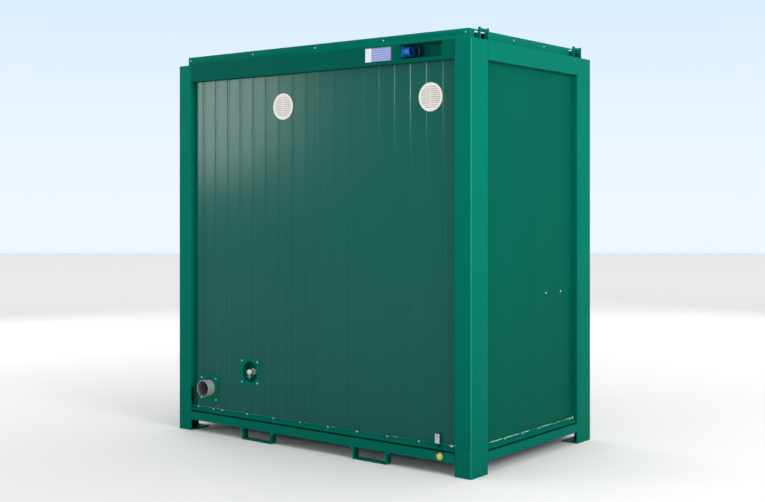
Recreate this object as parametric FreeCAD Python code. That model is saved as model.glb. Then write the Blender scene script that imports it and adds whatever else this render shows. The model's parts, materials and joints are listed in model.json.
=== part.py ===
import FreeCAD, Part
import math
import os
from FreeCAD import Placement, Rotation, Vector

# A steel-framed toilet cabin with two cubicles side by side.
# X runs along the long sides, Y from the service side (negative) to the door side (positive), Z up.
# The origin is on the ground under the middle of the cabin. All sizes are in millimetres.

# Whole cabin
CABIN_LENGTH = 2400.0
CABIN_DEPTH = 1400.0
FRAME_TOP = 2480.0
WALL_RECESS = 35.0  # how far the panels stand back from the faces of the frame
FIT = 0.3  # gap between bodies that move past each other
RUN_GAP = 0.05  # gap round a pin in its bore
SCREW_FIT = 0.15  # room around a screw's shank

# Corner posts and feet
POST_WIDTH = 115.0  # along the long side
POST_DEPTH = 175.0  # along the short side
POST_WALL = 4.0
POST_ROUND = 6.0
FOOT_HEIGHT = 135.0
FOOT_PLATE = 8.0
DRAIN_RISE = 34.0  # rainwater outlet in each post, above the foot
DRAIN_HEIGHT = 124.0
DRAIN_WIDTH = 18.0
DRAIN_SETBACK = 11.0

# Rails of the floor and roof frames
RAIL_WALL = 4.0
TOP_RAIL_HEIGHT = 113.0
TOP_FLANGE = 95.0
RAIL_UNDERSIDE = 75.0
BOTTOM_RAIL_HEIGHT = 53.0
BOTTOM_FLANGE_LEDGE = 25.0  # how far the flange reaches under the floor board

# Cross beams
FLOOR_BEAMS = 5
FLOOR_BEAM_WIDTH = 50.0
ROOF_BAYS = 4
ROOF_BEAM_WIDTH = 50.0
ROOF_BEAM_HEIGHT = 60.0
BEAM_WALL = 3.0

# Fork pockets under the long rails
FORK_CENTRE = 468.0
FORK_WIDTH = 256.0
FORK_STRAP = 8.0
FORK_STRAP_DEPTH = 50.0
FORK_GUSSET = 28.0
FORK_GUSSET_DROP = 30.0

# Lifting points on the short sides
BAIL_FROM_END = 153.0
BAIL_WIDTH = 96.0
BAIL_LUG = 10.0
BAIL_LUG_DEPTH = 30.0
BAIL_LUG_NECK = 14.0  # depth of the lug's upper part
BAIL_LUG_SHOULDER = 30.0  # height of its wide foot at the back
BAIL_STANDOFF = 10.0
BAIL_HEIGHT = 70.0
BAIL_BAR_RADIUS = 6.8
BAIL_BAR_BELOW_TOP = 12.0

# Floor
SHEET = 1.5
FLOOR_BOARD = 22.0
FLOOR_COVER = 3.0

# Walls, made of ribbed or plain steel outside, a foam core and a white lining
WALL_SKIN = 1.0
RIB_DEPTH = 1.5
RIB_PITCH = 116.7
RIB_WIDTH = 25.0
RIB_SLOPE = 6.0
LINING = 3.0
PANEL_JOINT = 1.0
WALL_ABOVE_LIP = 14.0
PARTITION_THICKNESS = 40.0
CEILING = 8.0
CEILING_LEDGE = 15.0  # how far the ceiling rests on the walls

# Roof
ROOF_TRIM_HEIGHT = 60.0
ROOF_TRIM_INSET = 45.0
TRIM_SHEET = 2.0
TRIM_TOP_FLANGE = 30.0
ROOF_EDGE_RISE = 40.0
ROOF_CROWN = 18.0
NOTCH_WIDTH = 104.0
NOTCH_BOTTOM = 8.0
NOTCH_TOP = 52.0

# Drip flashing at the foot of the walls
FLASHING_SHEET = 1.5
FLASHING_RISE = 38.0  # its top edge, and the next three heights, above the bottom rail
FLASHING_KNEE_RISE = 27.0
FLASHING_NOSE_RISE = 18.0
FLASHING_LIP_RISE = 12.0
FLASHING_REACH = 28.0

# Screws
SCREW_RADIUS = 2.4
SCREW_LENGTH = 12.0
SCREW_HEAD_RADIUS = 5.5
SCREW_HEAD = 3.0
ROOF_SCREW_HEIGHT = 37.0
ROOF_SCREW_INSET = 21.0
ROOF_END_SCREW_SPACING = 353.0
FLASHING_SCREW_INSET = 40.0
FLASHING_SCREW_PITCH = 232.0
FLASHING_EXTRA_SCREW = 147.0  # one more, so far from the first
FLASHING_END_PITCH = 187.0
BOLT_RADIUS = 4.0
BOLT_HEAD_RADIUS = 8.0
BOLT_HEAD = 5.0
BOLT_THROUGH = 10.0  # how far a bolt reaches past the lining

# Air vents
VENTS_FROM_WALL = {"left": 242.0, "right": 188.0}  # from each cubicle's right wall
VENT_BELOW_TOP = 318.0
VENT_FLANGE_RADIUS = 84.0
VENT_FLANGE = 5.0
VENT_SLEEVE_RADIUS = 75.0
VENT_SLEEVE_WALL = 2.0
VENT_HOLE_GAP = 1.0
VENT_SLATS = 11
VENT_SLAT_DEPTH = 11.0
VENT_SLAT_THICKNESS = 2.0
VENT_RIB = 5.0

# Waste outlet
WASTE_FROM_WALL = 140.0
WASTE_HEIGHT = 146.0  # above the floor
WASTE_RADIUS = 55.0
WASTE_WALL = 3.2
WASTE_BEND = 58.0  # where the soil pipe starts to turn, before its corner
WASTE_REACH = 57.0  # how far the open end stands out of the wall's face
WASTE_HOLE_GAP = 10.0
SERVICE_PLATE = 178.0
WASTE_PLATE_DROP = 5.0  # the plate sits lower than the pipe
PLATE_SHEET = 2.0
PLATE_SCREW_INSET = 19.0

# Water inlet
WATER_FROM_WALL = 529.0
WATER_HEIGHT = 287.0  # above the floor
WATER_PLATE_SHIFT = 4.0  # the plate sits to the left of the cup
CUP_RADIUS = 69.5
CUP_DEPTH = 55.0
CUP_WALL = 1.5
INLET_BODY_RADIUS = 14.0
INLET_NUT_RADIUS = 19.0
INLET_NUT_LENGTH = 24.0
INLET_BALL_RADIUS = 18.5
INLET_BALL_STANDOFF = 7.0  # the ball's middle stands out of the wall's face
INLET_MOUTH = 17.0  # from the ball's middle to its flat mouth
INLET_BORE = 5.5
VALVE_STEM_RADIUS = 3.0
VALVE_STEM_LENGTH = 41.0  # below the ball's middle
VALVE_HUB_RADIUS = 6.0
VALVE_HUB_HEIGHT = 5.0
VALVE_WING_REACH = 20.0
VALVE_WING_RISE = 18.0
VALVE_WING_WIDTH = 8.0
VALVE_WING_THICKNESS = 3.0

# Pipes inside
SOIL_WALL_GAP = 5.0
SOCKET_LENGTH = 40.0
BASIN_WASTE_RADIUS = 20.0
WATER_PIPE_RADIUS = 11.0
WATER_PIPE_GAP = 4.0
CISTERN_FEED_OFFSET = 120.0

# Power inlet in its pocket in the rear top rail
POCKET_FROM_POST = 86.0
POCKET_WIDTH = 306.0
POCKET_SILL = 23.0  # above the underside of the rail
POWER_RADIUS = 31.0
POWER_LENGTH = 46.0
POWER_FLANGE = 66.0
POWER_FLANGE_THICKNESS = 9.0
POWER_WALL = 3.0
POWER_PIN_RADIUS = 2.4
POWER_PIN_CIRCLE = 15.0
POWER_RISE = 48.0  # above the bottom of the pocket
INLET_LID_THICKNESS = 4.0
INLET_LID_OPEN = 55.0
INLET_LID_PIN = 2.5
INLET_LID_EAR = 8.0
INLET_LID_BARREL = 4.2

# Label and earthing point
LABEL_GAP = 59.0  # to the pocket
LABEL_WIDTH = 194.0
LABEL_HEIGHT = 81.0
LABEL_RISE = 22.0  # above the underside of the rail
LABEL_SHEET = 1.0
EARTH_LUG_FROM_POST = 131.5
EARTH_LUG_WIDTH = 31.0
EARTH_LUG_RISE = 42.0  # above the bottom rail
EARTH_LUG_HEIGHT = 55.0
EARTH_LUG_SHEET = 3.0
EARTH_LUG_STANDOFF = 14.0
EARTH_DISC_FROM_POST = 102.0
EARTH_DISC_RISE = 29.0  # above the underside of the bottom rail
EARTH_DISC_RADIUS = 23.0

# Doors
DOOR_WIDTH = 780.0
WALL_OVER_DOOR = 192.0
DOOR_THICKNESS = 44.0
DOOR_SKIN = 1.5
DOOR_GAP = 4.0
DOOR_SILL_RISE = 12.0  # how far the sill stands above the floor
FRAME_FACE = 40.0
FRAME_STOP = 15.0  # how far the stop reaches into the opening
FRAME_WALL = 2.5
SEAL_GAP = 4.0
HINGES = 3
HINGE_RADIUS = 8.0
HINGE_PIN_RADIUS = 5.0
HINGE_KNUCKLE = 40.0
HINGE_STANDOFF = 10.0
HINGE_LEAF = 3.0
HINGE_LEAF_WIDTH = 30.0
HINGE_END_INSET = 220.0
LEVER_HEIGHT = 1000.0  # above the floor
LEVER_BACKSET = 60.0
LEVER_LENGTH = 118.0
LEVER_NECK_RADIUS = 9.0
LEVER_BAR_RADIUS = 9.0
LEVER_STANDOFF = 50.0
SPINDLE_RADIUS = 5.0
ROSE_WIDTH = 40.0
ROSE_HEIGHT = 210.0
ROSE_THICKNESS = 7.0
LOCK_DEPTH = 90.0
LOCK_HEIGHT = 150.0
LOCK_THICKNESS = 18.0
LOCK_WALL = 1.5
LOCK_BOLT_HEIGHT = 24.0
LOCK_BOLT_THICKNESS = 11.0
LOCK_BOLT_LENGTH = 42.0
LOCK_BOLT_DROP = 45.0  # below the lever
LOCK_BOLT_TRAVEL = 16.0
SLIDE_BOLT_RISE = 190.0  # above the lever
SLIDE_BOLT_RADIUS = 5.0
SLIDE_BOLT_LENGTH = 95.0
SLIDE_BOLT_TRAVEL = 20.0
SLIDE_BOLT_SETBACK = 15.5  # the bolt's end behind the edge of the leaf
SLIDE_BOLT_STANDOFF = 14.0
SLIDE_BOLT_STRAP = 16.0

# Toilets
PAN_FROM_WALL = 400.0  # across, from the cubicle's left wall seen from the service side
PAN_HEIGHT = 400.0
PAN_LENGTH = 520.0
PAN_WIDTH = 360.0
PAN_BACK = 130.0  # from the rear lining to the back of the pan
PAN_DECK_WIDTH = 200.0
PAN_DECK_LENGTH = 125.0
PAN_FOOT_WIDTH = 220.0
BOWL_WALL = 42.0
SPIGOT_RADIUS = 50.0
SPIGOT_BORE = 42.0
SPIGOT_LENGTH = 38.0
SEAT_LIFT = 3.0
SEAT_THICKNESS = 18.0
SEAT_RING = 62.0
SEAT_OVERHANG = 5.0
SEAT_HINGE_FROM_BACK = 62.0
SEAT_HINGE_SPACING = 150.0
SEAT_PIN_RADIUS = 5.0
SEAT_LUG_RADIUS = 9.0
SEAT_LUG_WIDTH = 18.0
SEAT_BLOCK_WIDTH = 20.0
LID_THICKNESS = 12.0
LID_GAP = 2.0
LID_OPEN_ANGLE = 94.0
CISTERN_WIDTH = 380.0
CISTERN_DEPTH = 122.0
CISTERN_HEIGHT = 340.0
CISTERN_UNDERSIDE = 600.0  # above the floor
CISTERN_WALL = 4.0
FLUSH_PIPE_RADIUS = 22.0
FLUSH_PIPE_HEIGHT = 350.0  # where it meets the pan, above the floor
BUTTON_RADIUS = 22.0
BUTTON_PROUD = 9.0
BUTTON_HEIGHT = 22.0

# Washbasins and taps
BASIN_FROM_WALL = 205.0  # across, from the cubicle's right wall
BASIN_WIDTH = 350.0
BASIN_DEPTH = 260.0
BASIN_RIM = 820.0  # above the floor
BASIN_HEIGHT = 135.0
BASIN_WALL = 26.0
BASIN_DECK = 68.0
BASIN_FLOOR = 22.0
DRAIN_RADIUS = 16.0
TAP_RADIUS = 20.0
TAP_HEIGHT = 90.0
TAP_SETBACK = 36.0
SPOUT_RADIUS = 10.0
SPOUT_REACH = 108.0
TAP_STEM_RADIUS = 8.0
TAP_HUB_HEIGHT = 20.0
TAP_LEVER_LENGTH = 74.0

# Fittings on the walls inside
MIRROR_WIDTH = 300.0
MIRROR_HEIGHT = 420.0
MIRROR_SHEET = 3.0
MIRROR_BOTTOM = 1120.0  # above the floor
PAPER_BOLT_HEIGHT = 836.0  # above the floor
PAPER_BOLT_FROM_FRONT = 218.0
PAPER_BOLT_SPACING = 183.0
PAPER_CASE_WIDTH = 240.0
PAPER_CASE_HEIGHT = 270.0
PAPER_CASE_DEPTH = 110.0
PAPER_CASE_WALL = 1.5
PAPER_CASE_EDGE = 12.0  # thickness of its sides, and the rounding of its front edges
PAPER_SLOT = 24.0
PAPER_SLOT_END = 8.0  # left closed at each end of the slot
LIGHT_RADIUS = 140.0
LIGHT_HEIGHT = 55.0
UNIT_FROM_WALL = 480.0  # from the left wall of its cubicle
UNIT_WIDTH = 220.0
UNIT_HEIGHT = 180.0
UNIT_DEPTH = 80.0
UNIT_BELOW_CEILING = 172.0
UNIT_WALL = 2.5
CONDUIT_RADIUS = 10.0
FLAP_WIDTH = 160.0
FLAP_HEIGHT = 80.0
FLAP_THICKNESS = 4.0
FLAP_PIN = 2.5
FLAP_BARREL = 5.0

# Places worked out from the sizes above
HALF_LENGTH = CABIN_LENGTH / 2
HALF_DEPTH = CABIN_DEPTH / 2
WALL_FACE_X = HALF_LENGTH - WALL_RECESS
WALL_FACE_Y = HALF_DEPTH - WALL_RECESS
WALL_DEPTH = POST_WIDTH - WALL_RECESS
ROOM_X = HALF_LENGTH - POST_WIDTH
ROOM_Y = WALL_FACE_Y - WALL_DEPTH
POST_INNER_Y = HALF_DEPTH - POST_DEPTH
RAIL_TOP = RAIL_UNDERSIDE + BOTTOM_RAIL_HEIGHT
TOP_RAIL_UNDERSIDE = FRAME_TOP - TOP_RAIL_HEIGHT
WALL_BOTTOM = RAIL_TOP
WALL_TOP = TOP_RAIL_UNDERSIDE + RAIL_WALL + WALL_ABOVE_LIP
BOARD_TOP = RAIL_TOP + FLOOR_BOARD
FLOOR = BOARD_TOP + FLOOR_COVER
FLANGE_EDGE_Y = ROOM_Y - BOTTOM_FLANGE_LEDGE
FLANGE_EDGE_X = ROOM_X - BOTTOM_FLANGE_LEDGE
TOP_FLANGE_EDGE_Y = HALF_DEPTH - TOP_FLANGE
CORE_FRONT = WALL_SKIN + RIB_DEPTH
CORE_BACK = WALL_DEPTH - LINING
TRIM_X = HALF_LENGTH - ROOF_TRIM_INSET
TRIM_Y = HALF_DEPTH - ROOF_TRIM_INSET
TRIM_TOP = FRAME_TOP + ROOF_TRIM_HEIGHT
TRIM_FOOT_FLANGE = TOP_FLANGE - ROOF_TRIM_INSET
ROOF_CORE_Y = ROOM_Y + CEILING_LEDGE
PARTITION_X = PARTITION_THICKNESS / 2
DOOR_BOTTOM = FLOOR + DOOR_SILL_RISE + DOOR_GAP
FRAME_TOP_Z = WALL_TOP - WALL_OVER_DOOR
DOOR_TOP = FRAME_TOP_Z - FRAME_FACE - DOOR_GAP
DOOR_X = (ROOM_X + PARTITION_X) / 2
FRAME_OUTER = DOOR_WIDTH / 2 + DOOR_GAP + FRAME_FACE
LEVER_Z = FLOOR + LEVER_HEIGHT
SOIL_Y = -(ROOM_Y - SOIL_WALL_GAP - WASTE_RADIUS)
WATER_Y = -(ROOM_Y - WATER_PIPE_GAP - WATER_PIPE_RADIUS)
CUBICLES = {"left": -ROOM_X, "right": PARTITION_X}  # each cubicle's left wall, from the service side
RIGHT_WALLS = {"left": -PARTITION_X, "right": ROOM_X}
DRAIN_BOTTOM = FOOT_HEIGHT + DRAIN_RISE
ROOF_BEAMS_X = [ROOM_X * (2 * i / ROOF_BAYS - 1) for i in range(1, ROOF_BAYS)]
BAIL_CENTRE = HALF_DEPTH - BAIL_FROM_END
FLASHING_TOP, FLASHING_KNEE = RAIL_TOP + FLASHING_RISE, RAIL_TOP + FLASHING_KNEE_RISE
FLASHING_NOSE, FLASHING_LIP = RAIL_TOP + FLASHING_NOSE_RISE, RAIL_TOP + FLASHING_LIP_RISE
VENTS_X = [RIGHT_WALLS[side] - VENTS_FROM_WALL[side] for side in CUBICLES]
VENT_Z = FRAME_TOP - VENT_BELOW_TOP
WASTE_X, WASTE_Z = -ROOM_X + WASTE_FROM_WALL, FLOOR + WASTE_HEIGHT
WATER_X, WATER_Z = -ROOM_X + WATER_FROM_WALL, FLOOR + WATER_HEIGHT
POCKET_RIGHT = ROOM_X - POCKET_FROM_POST
POCKET_LEFT = POCKET_RIGHT - POCKET_WIDTH
POCKET_BOTTOM = TOP_RAIL_UNDERSIDE + POCKET_SILL
POWER_CENTRE_Z = POCKET_BOTTOM + POWER_RISE
LABEL_RIGHT = POCKET_LEFT - LABEL_GAP
LABEL_BOTTOM = TOP_RAIL_UNDERSIDE + LABEL_RISE
EARTH_LUG_X, EARTH_LUG_BOTTOM = ROOM_X - EARTH_LUG_FROM_POST, RAIL_TOP + EARTH_LUG_RISE
EARTH_LUG_TOP = EARTH_LUG_BOTTOM + EARTH_LUG_HEIGHT
EARTH_DISC_X, EARTH_DISC_Z = ROOM_X - EARTH_DISC_FROM_POST, RAIL_UNDERSIDE + EARTH_DISC_RISE
PAPER_BOLT_Z = FLOOR + PAPER_BOLT_HEIGHT
PAPER_BOLT_Y = (ROOM_Y - PAPER_BOLT_FROM_FRONT - PAPER_BOLT_SPACING, ROOM_Y - PAPER_BOLT_FROM_FRONT)
UNIT_X, UNIT_TOP = CUBICLES["right"] + UNIT_FROM_WALL, WALL_TOP - UNIT_BELOW_CEILING
X_AXIS = Vector(1, 0, 0)
Y_AXIS = Vector(0, 1, 0)
Z_AXIS = Vector(0, 0, 1)


def box(x0, x1, y0, y1, z0, z1):
    """A block between two opposite corners."""
    size = (abs(x1 - x0), abs(y1 - y0), abs(z1 - z0))
    return Part.makeBox(*size, Vector(min(x0, x1), min(y0, y1), min(z0, z1)))


def rod(start, end, radius):
    """A round bar from one point to another."""
    run = Vector(*end) - Vector(*start)
    return Part.makeCylinder(radius, run.Length, Vector(*start), run)


def pipe_run(points, radius, setback):
    """A bent round bar through points; each bend starts a setback before its corner."""
    start, edges = Vector(*points[0]), []
    for corner, after in zip(points[1:-1], points[2:]):
        corner, after = Vector(*corner), Vector(*after)
        into, out = (corner - start).normalize(), (after - corner).normalize()
        half_turn = into.getAngle(out) / 2
        inward = setback / math.tan(half_turn) * (1 / math.cos(half_turn) - 1)
        middle = corner + (out - into).normalize() * inward
        first, last = corner - into * setback, corner + out * setback
        edges += [Part.makeLine(start, first), Part.Arc(first, middle, last).toShape()]
        start = last
    path = Part.Wire(edges + [Part.makeLine(start, Vector(*points[-1]))])
    direction = Vector(*points[1]) - Vector(*points[0])
    ring = Part.Wire([Part.makeCircle(radius, Vector(*points[0]), direction)])
    return path.makePipeShell([ring], True, True)


def extruded(points, sweep):
    """A prism from a closed outline of points and a sweep."""
    wire = Part.makePolygon([Vector(*p) for p in points] + [Vector(*points[0])])
    return Part.Face(wire).extrude(Vector(*sweep))


def along_x(outline, x0, x1):
    """A prism along X from an outline of (y, z) points."""
    return extruded([(x0, y, z) for y, z in outline], (x1 - x0, 0, 0))


def along_y(outline, y0, y1):
    """A prism along Y from an outline of (x, z) points."""
    return extruded([(x, y0, z) for x, z in outline], (0, y1 - y0, 0))


def along_z(outline, z0, z1):
    """A prism along Z from an outline of (x, y) points."""
    return extruded([(x, y, z0) for x, y in outline], (0, 0, z1 - z0))


def flip_x(shape):
    """The shape seen in a mirror across the middle of the cabin's length."""
    return shape.mirror(Vector(0, 0, 0), X_AXIS)


def flip_y(shape):
    """The shape seen in a mirror across the middle of the cabin's depth."""
    return shape.mirror(Vector(0, 0, 0), Y_AXIS)


def two_sides(shape):
    """The shape and its mirror image on the other long side."""
    return [shape, flip_y(shape)]


def two_ends(shape):
    """The shape and its mirror image at the other short side."""
    return [shape, flip_x(shape)]


def four_corners(shape):
    """The shape and its three mirror images."""
    return two_ends(shape) + [flip_y(s) for s in two_ends(shape)]


def turned(shape, centre, axis, degrees):
    """A copy turned about an axis through a point."""
    copy = shape.copy()
    copy.rotate(Vector(*centre), axis, degrees)
    return copy


def rounded_rectangle(x, y, z, width, depth, radius):
    """A flat wire with round corners, level at height z."""
    block = rounded_block(x - width / 2, x + width / 2, y - depth / 2, y + depth / 2, z, z + radius, radius)
    return min(block.Faces, key=lambda face: face.CenterOfMass.z).OuterWire


def upright_edges(shape):
    """The straight edges of a shape that run along Z."""
    def upright(edge):
        a, b = edge.Vertexes[0].Point, edge.Vertexes[-1].Point
        return abs(a.x - b.x) + abs(a.y - b.y) < 1e-6 < abs(a.z - b.z)
    return [edge for edge in shape.Edges if len(edge.Vertexes) == 2 and upright(edge)]


def rounded_block(x0, x1, y0, y1, z0, z1, radius):
    """A block with its four upright edges rounded."""
    block = box(x0, x1, y0, y1, z0, z1)
    return block.makeFillet(radius, upright_edges(block))


def oval(x, y, z, half_width, half_length):
    """A flat ellipse, longer or shorter along Y, as a wire."""
    if half_length >= half_width:
        long_half, short_half, direction = half_length, half_width, Y_AXIS
    else:
        long_half, short_half, direction = half_width, half_length, X_AXIS
    centre = Vector(x, y, z)
    tip = centre + direction * long_half
    side = centre + (Y_AXIS if direction == X_AXIS else X_AXIS) * short_half
    return Part.Wire([Part.Ellipse(tip, side, centre).toShape()])


def joined(shapes):
    """One solid from shapes that overlap or touch."""
    first, rest = shapes[0], shapes[1:]
    whole = first.fuse(rest) if rest else first
    return whole.removeSplitter()


def solids_of(shape):
    """The solids of a shape, each on its own."""
    return list(shape.Solids)


def save(node, shapes):
    """Write one node's solids to its own file."""
    solids = [s for shape in shapes for s in solids_of(shape)]
    whole = solids[0] if len(solids) == 1 else Part.makeCompound(solids)
    whole.exportStep("parts/" + node + ".step")


# Frame

def corner_posts():
    """Four folded box posts, each with a rainwater outlet near its foot."""
    post = rounded_block(-HALF_LENGTH, -ROOM_X, -HALF_DEPTH, -POST_INNER_Y,
                         FOOT_HEIGHT, FRAME_TOP, POST_ROUND)
    inside = box(-HALF_LENGTH + POST_WALL, -ROOM_X - POST_WALL,
                 -HALF_DEPTH + POST_WALL, -POST_INNER_Y - POST_WALL,
                 FOOT_HEIGHT, FRAME_TOP - POST_WALL)
    slot_start = -HALF_DEPTH + DRAIN_SETBACK
    slot = box(-ROOM_X - POST_WALL, -ROOM_X, slot_start, slot_start + DRAIN_WIDTH,
               DRAIN_BOTTOM, DRAIN_BOTTOM + DRAIN_HEIGHT)
    return four_corners(post.cut([inside, slot]))


def corner_feet():
    """Four welded feet: a closed box above, an open corner and a ground plate below."""
    block = rounded_block(-HALF_LENGTH, -ROOM_X, -HALF_DEPTH, -POST_INNER_Y,
                          0, FOOT_HEIGHT, POST_ROUND)
    below = box(-HALF_LENGTH + FOOT_PLATE, -ROOM_X, -HALF_DEPTH + FOOT_PLATE, -POST_INNER_Y,
                FOOT_PLATE, RAIL_UNDERSIDE - FOOT_PLATE)
    above = box(-HALF_LENGTH + FOOT_PLATE, -ROOM_X - FOOT_PLATE,
                -HALF_DEPTH + FOOT_PLATE, -POST_INNER_Y - FOOT_PLATE,
                RAIL_UNDERSIDE, FOOT_HEIGHT)
    return four_corners(block.cut([below, above]))


def top_rail_outline(face, wall_face, flange_edge):
    """Outline of a top rail: a web, a lip over the wall below and a flange above."""
    t = RAIL_WALL
    return [(-face, TOP_RAIL_UNDERSIDE), (-wall_face, TOP_RAIL_UNDERSIDE),
            (-wall_face, TOP_RAIL_UNDERSIDE + t), (-face + t, TOP_RAIL_UNDERSIDE + t),
            (-face + t, FRAME_TOP - t), (-flange_edge, FRAME_TOP - t),
            (-flange_edge, FRAME_TOP), (-face, FRAME_TOP)]


def top_rails():
    """Four rails round the roof; the rear one is cut open for the power pocket."""
    long_rail = along_x(top_rail_outline(HALF_DEPTH, WALL_FACE_Y, TOP_FLANGE_EDGE_Y), -ROOM_X, ROOM_X)
    mouth = box(POCKET_LEFT, POCKET_RIGHT, -HALF_DEPTH, -HALF_DEPTH + RAIL_WALL,
                POCKET_BOTTOM, FRAME_TOP - RAIL_WALL)
    end_outline = top_rail_outline(HALF_LENGTH, WALL_FACE_X, HALF_LENGTH - TOP_FLANGE)
    end_rail = along_y(end_outline, -POST_INNER_Y, POST_INNER_Y)
    return [long_rail.cut(mouth), flip_y(long_rail)] + two_ends(end_rail)


def bottom_rail_outline(face, flange_edge):
    """Outline of a bottom rail, a channel that opens inwards."""
    t = RAIL_WALL
    return [(-face, RAIL_UNDERSIDE), (-flange_edge, RAIL_UNDERSIDE), (-flange_edge, RAIL_UNDERSIDE + t),
            (-face + t, RAIL_UNDERSIDE + t), (-face + t, RAIL_TOP - t), (-flange_edge, RAIL_TOP - t),
            (-flange_edge, RAIL_TOP), (-face, RAIL_TOP)]


def bottom_rails():
    """Four channels round the floor."""
    long_rail = along_x(bottom_rail_outline(HALF_DEPTH, FLANGE_EDGE_Y), -ROOM_X, ROOM_X)
    end_rail = along_y(bottom_rail_outline(HALF_LENGTH, FLANGE_EDGE_X), -POST_INNER_Y, POST_INNER_Y)
    return two_sides(long_rail) + two_ends(end_rail)


def fork_pockets():
    """Four bent straps under the long rails, with a gusset each side."""
    left, right = FORK_CENTRE - FORK_WIDTH / 2, FORK_CENTRE + FORK_WIDTH / 2
    top, knee = RAIL_UNDERSIDE, RAIL_UNDERSIDE - FORK_GUSSET_DROP
    outline = [(left - FORK_GUSSET, top), (left, knee), (left, 0), (right, 0), (right, knee),
               (right + FORK_GUSSET, top), (right - FORK_STRAP, top),
               (right - FORK_STRAP, FORK_STRAP), (left + FORK_STRAP, FORK_STRAP), (left + FORK_STRAP, top)]
    strap = along_y(outline, -HALF_DEPTH, -HALF_DEPTH + FORK_STRAP_DEPTH)
    return four_corners(strap)


def lifting_bails():
    """Four lifting points: two upright lugs with a round bar between them."""
    outer_x = HALF_LENGTH - BAIL_STANDOFF
    near, far = BAIL_CENTRE - BAIL_WIDTH / 2, BAIL_CENTRE + BAIL_WIDTH / 2
    top, back, neck = FRAME_TOP + BAIL_HEIGHT, outer_x - BAIL_LUG_DEPTH, outer_x - BAIL_LUG_NECK
    shoulder = FRAME_TOP + BAIL_LUG_SHOULDER
    outline = [(back, FRAME_TOP), (outer_x, FRAME_TOP), (outer_x, top), (neck, top),
               (neck, shoulder + BAIL_LUG_NECK), (back, shoulder)]
    lugs = [along_y(outline, near, near + BAIL_LUG), along_y(outline, far - BAIL_LUG, far)]
    x, z = outer_x - BAIL_LUG_NECK / 2, top - BAIL_BAR_BELOW_TOP
    bar = rod((x, near + BAIL_LUG, z), (x, far - BAIL_LUG, z), BAIL_BAR_RADIUS)
    return [s for piece in lugs + [bar] for s in four_corners(piece)]


def floor_beam_places():
    """Middles of the floor beams, with equal bays between them and out to the rails."""
    pitch = (2 * FLANGE_EDGE_X - FLOOR_BEAM_WIDTH) / FLOOR_BEAMS
    return [(i - (FLOOR_BEAMS - 1) / 2) * pitch for i in range(FLOOR_BEAMS)]


def box_beam(x, width, edge_y, bottom, top):
    """A hollow beam across the cabin between two rails."""
    outer = box(x - width / 2, x + width / 2, -edge_y, edge_y, bottom, top)
    inner = box(x - width / 2 + BEAM_WALL, x + width / 2 - BEAM_WALL, -edge_y, edge_y,
                bottom + BEAM_WALL, top - BEAM_WALL)
    return outer.cut(inner)


def cross_beams():
    """Hollow beams that carry the floor board and the roof sheet."""
    floor = [box_beam(x, FLOOR_BEAM_WIDTH, FLANGE_EDGE_Y, RAIL_UNDERSIDE, RAIL_TOP)
             for x in floor_beam_places()]
    roof = [box_beam(x, ROOF_BEAM_WIDTH, TOP_FLANGE_EDGE_Y, FRAME_TOP - ROOF_BEAM_HEIGHT, FRAME_TOP)
            for x in ROOF_BEAMS_X]
    return floor + roof


# Floor and insulation

def underfloor_sheet():
    """A steel sheet welded under the floor frame."""
    reach = HALF_DEPTH - FORK_STRAP_DEPTH * 2
    return [box(-ROOM_X, ROOM_X, -reach, reach, RAIL_UNDERSIDE - SHEET, RAIL_UNDERSIDE)]


def floor_board():
    """The load-bearing board on the rails and beams."""
    return [box(-ROOM_X, ROOM_X, -ROOM_Y, ROOM_Y, RAIL_TOP, BOARD_TOP)]


def floor_covering():
    """A sheet of hard-wearing vinyl in each cubicle."""
    sheet = box(PARTITION_X, ROOM_X, -ROOM_Y, ROOM_Y, BOARD_TOP, FLOOR)
    return two_ends(sheet)


def spans_between(places, width, half_span):
    """The clear spans between beams and out to the edges."""
    starts = [-half_span] + [x + width / 2 for x in places]
    ends = [x - width / 2 for x in places] + [half_span]
    return list(zip(starts, ends))


def roof_height(y):
    """Height of the underside of the roof sheet at a place across the cabin."""
    half = TRIM_Y - TRIM_SHEET - 2 * FIT
    return FRAME_TOP + ROOF_EDGE_RISE - SHEET + ROOF_CROWN * (1 - abs(y) / half)


def insulation():
    """Foam in the floor, in the roof and inside the wall panels."""
    floor = [box(a, b, -FLANGE_EDGE_Y, FLANGE_EDGE_Y, RAIL_UNDERSIDE, RAIL_TOP)
             for a, b in spans_between(floor_beam_places(), FLOOR_BEAM_WIDTH, FLANGE_EDGE_X)]
    edge, low = ROOF_CORE_Y, WALL_TOP + CEILING
    slab = [(-edge, low), (edge, low), (edge, roof_height(edge)), (0, roof_height(0)),
            (-edge, roof_height(edge))]
    roof = [along_x(slab, a, b) for a, b in spans_between(ROOF_BEAMS_X, ROOF_BEAM_WIDTH, ROOM_X)]
    rear = rear_boards(CORE_FRONT, CORE_BACK, foam_windows())
    return floor + roof + rear + end_layers(CORE_FRONT, CORE_BACK) + front_layers(CORE_FRONT, CORE_BACK)


# Walls

def wall_holes():
    """What is cut through the rear wall for vents, waste and water."""
    out, inn = -WALL_FACE_Y - RIB_DEPTH, -ROOM_Y + RIB_DEPTH
    holes = [rod((x, out, VENT_Z), (x, inn, VENT_Z), VENT_SLEEVE_RADIUS + VENT_HOLE_GAP) for x in VENTS_X]
    holes.append(rod((WASTE_X, out, WASTE_Z), (WASTE_X, inn, WASTE_Z), WASTE_RADIUS + WASTE_HOLE_GAP))
    holes.append(rod((WATER_X, out, WATER_Z), (WATER_X, -WALL_FACE_Y + CUP_DEPTH + FIT, WATER_Z),
                     CUP_RADIUS + FIT))
    holes.append(rod((WATER_X, out, WATER_Z), (WATER_X, inn, WATER_Z), WATER_PIPE_RADIUS + FIT))
    return holes


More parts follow.
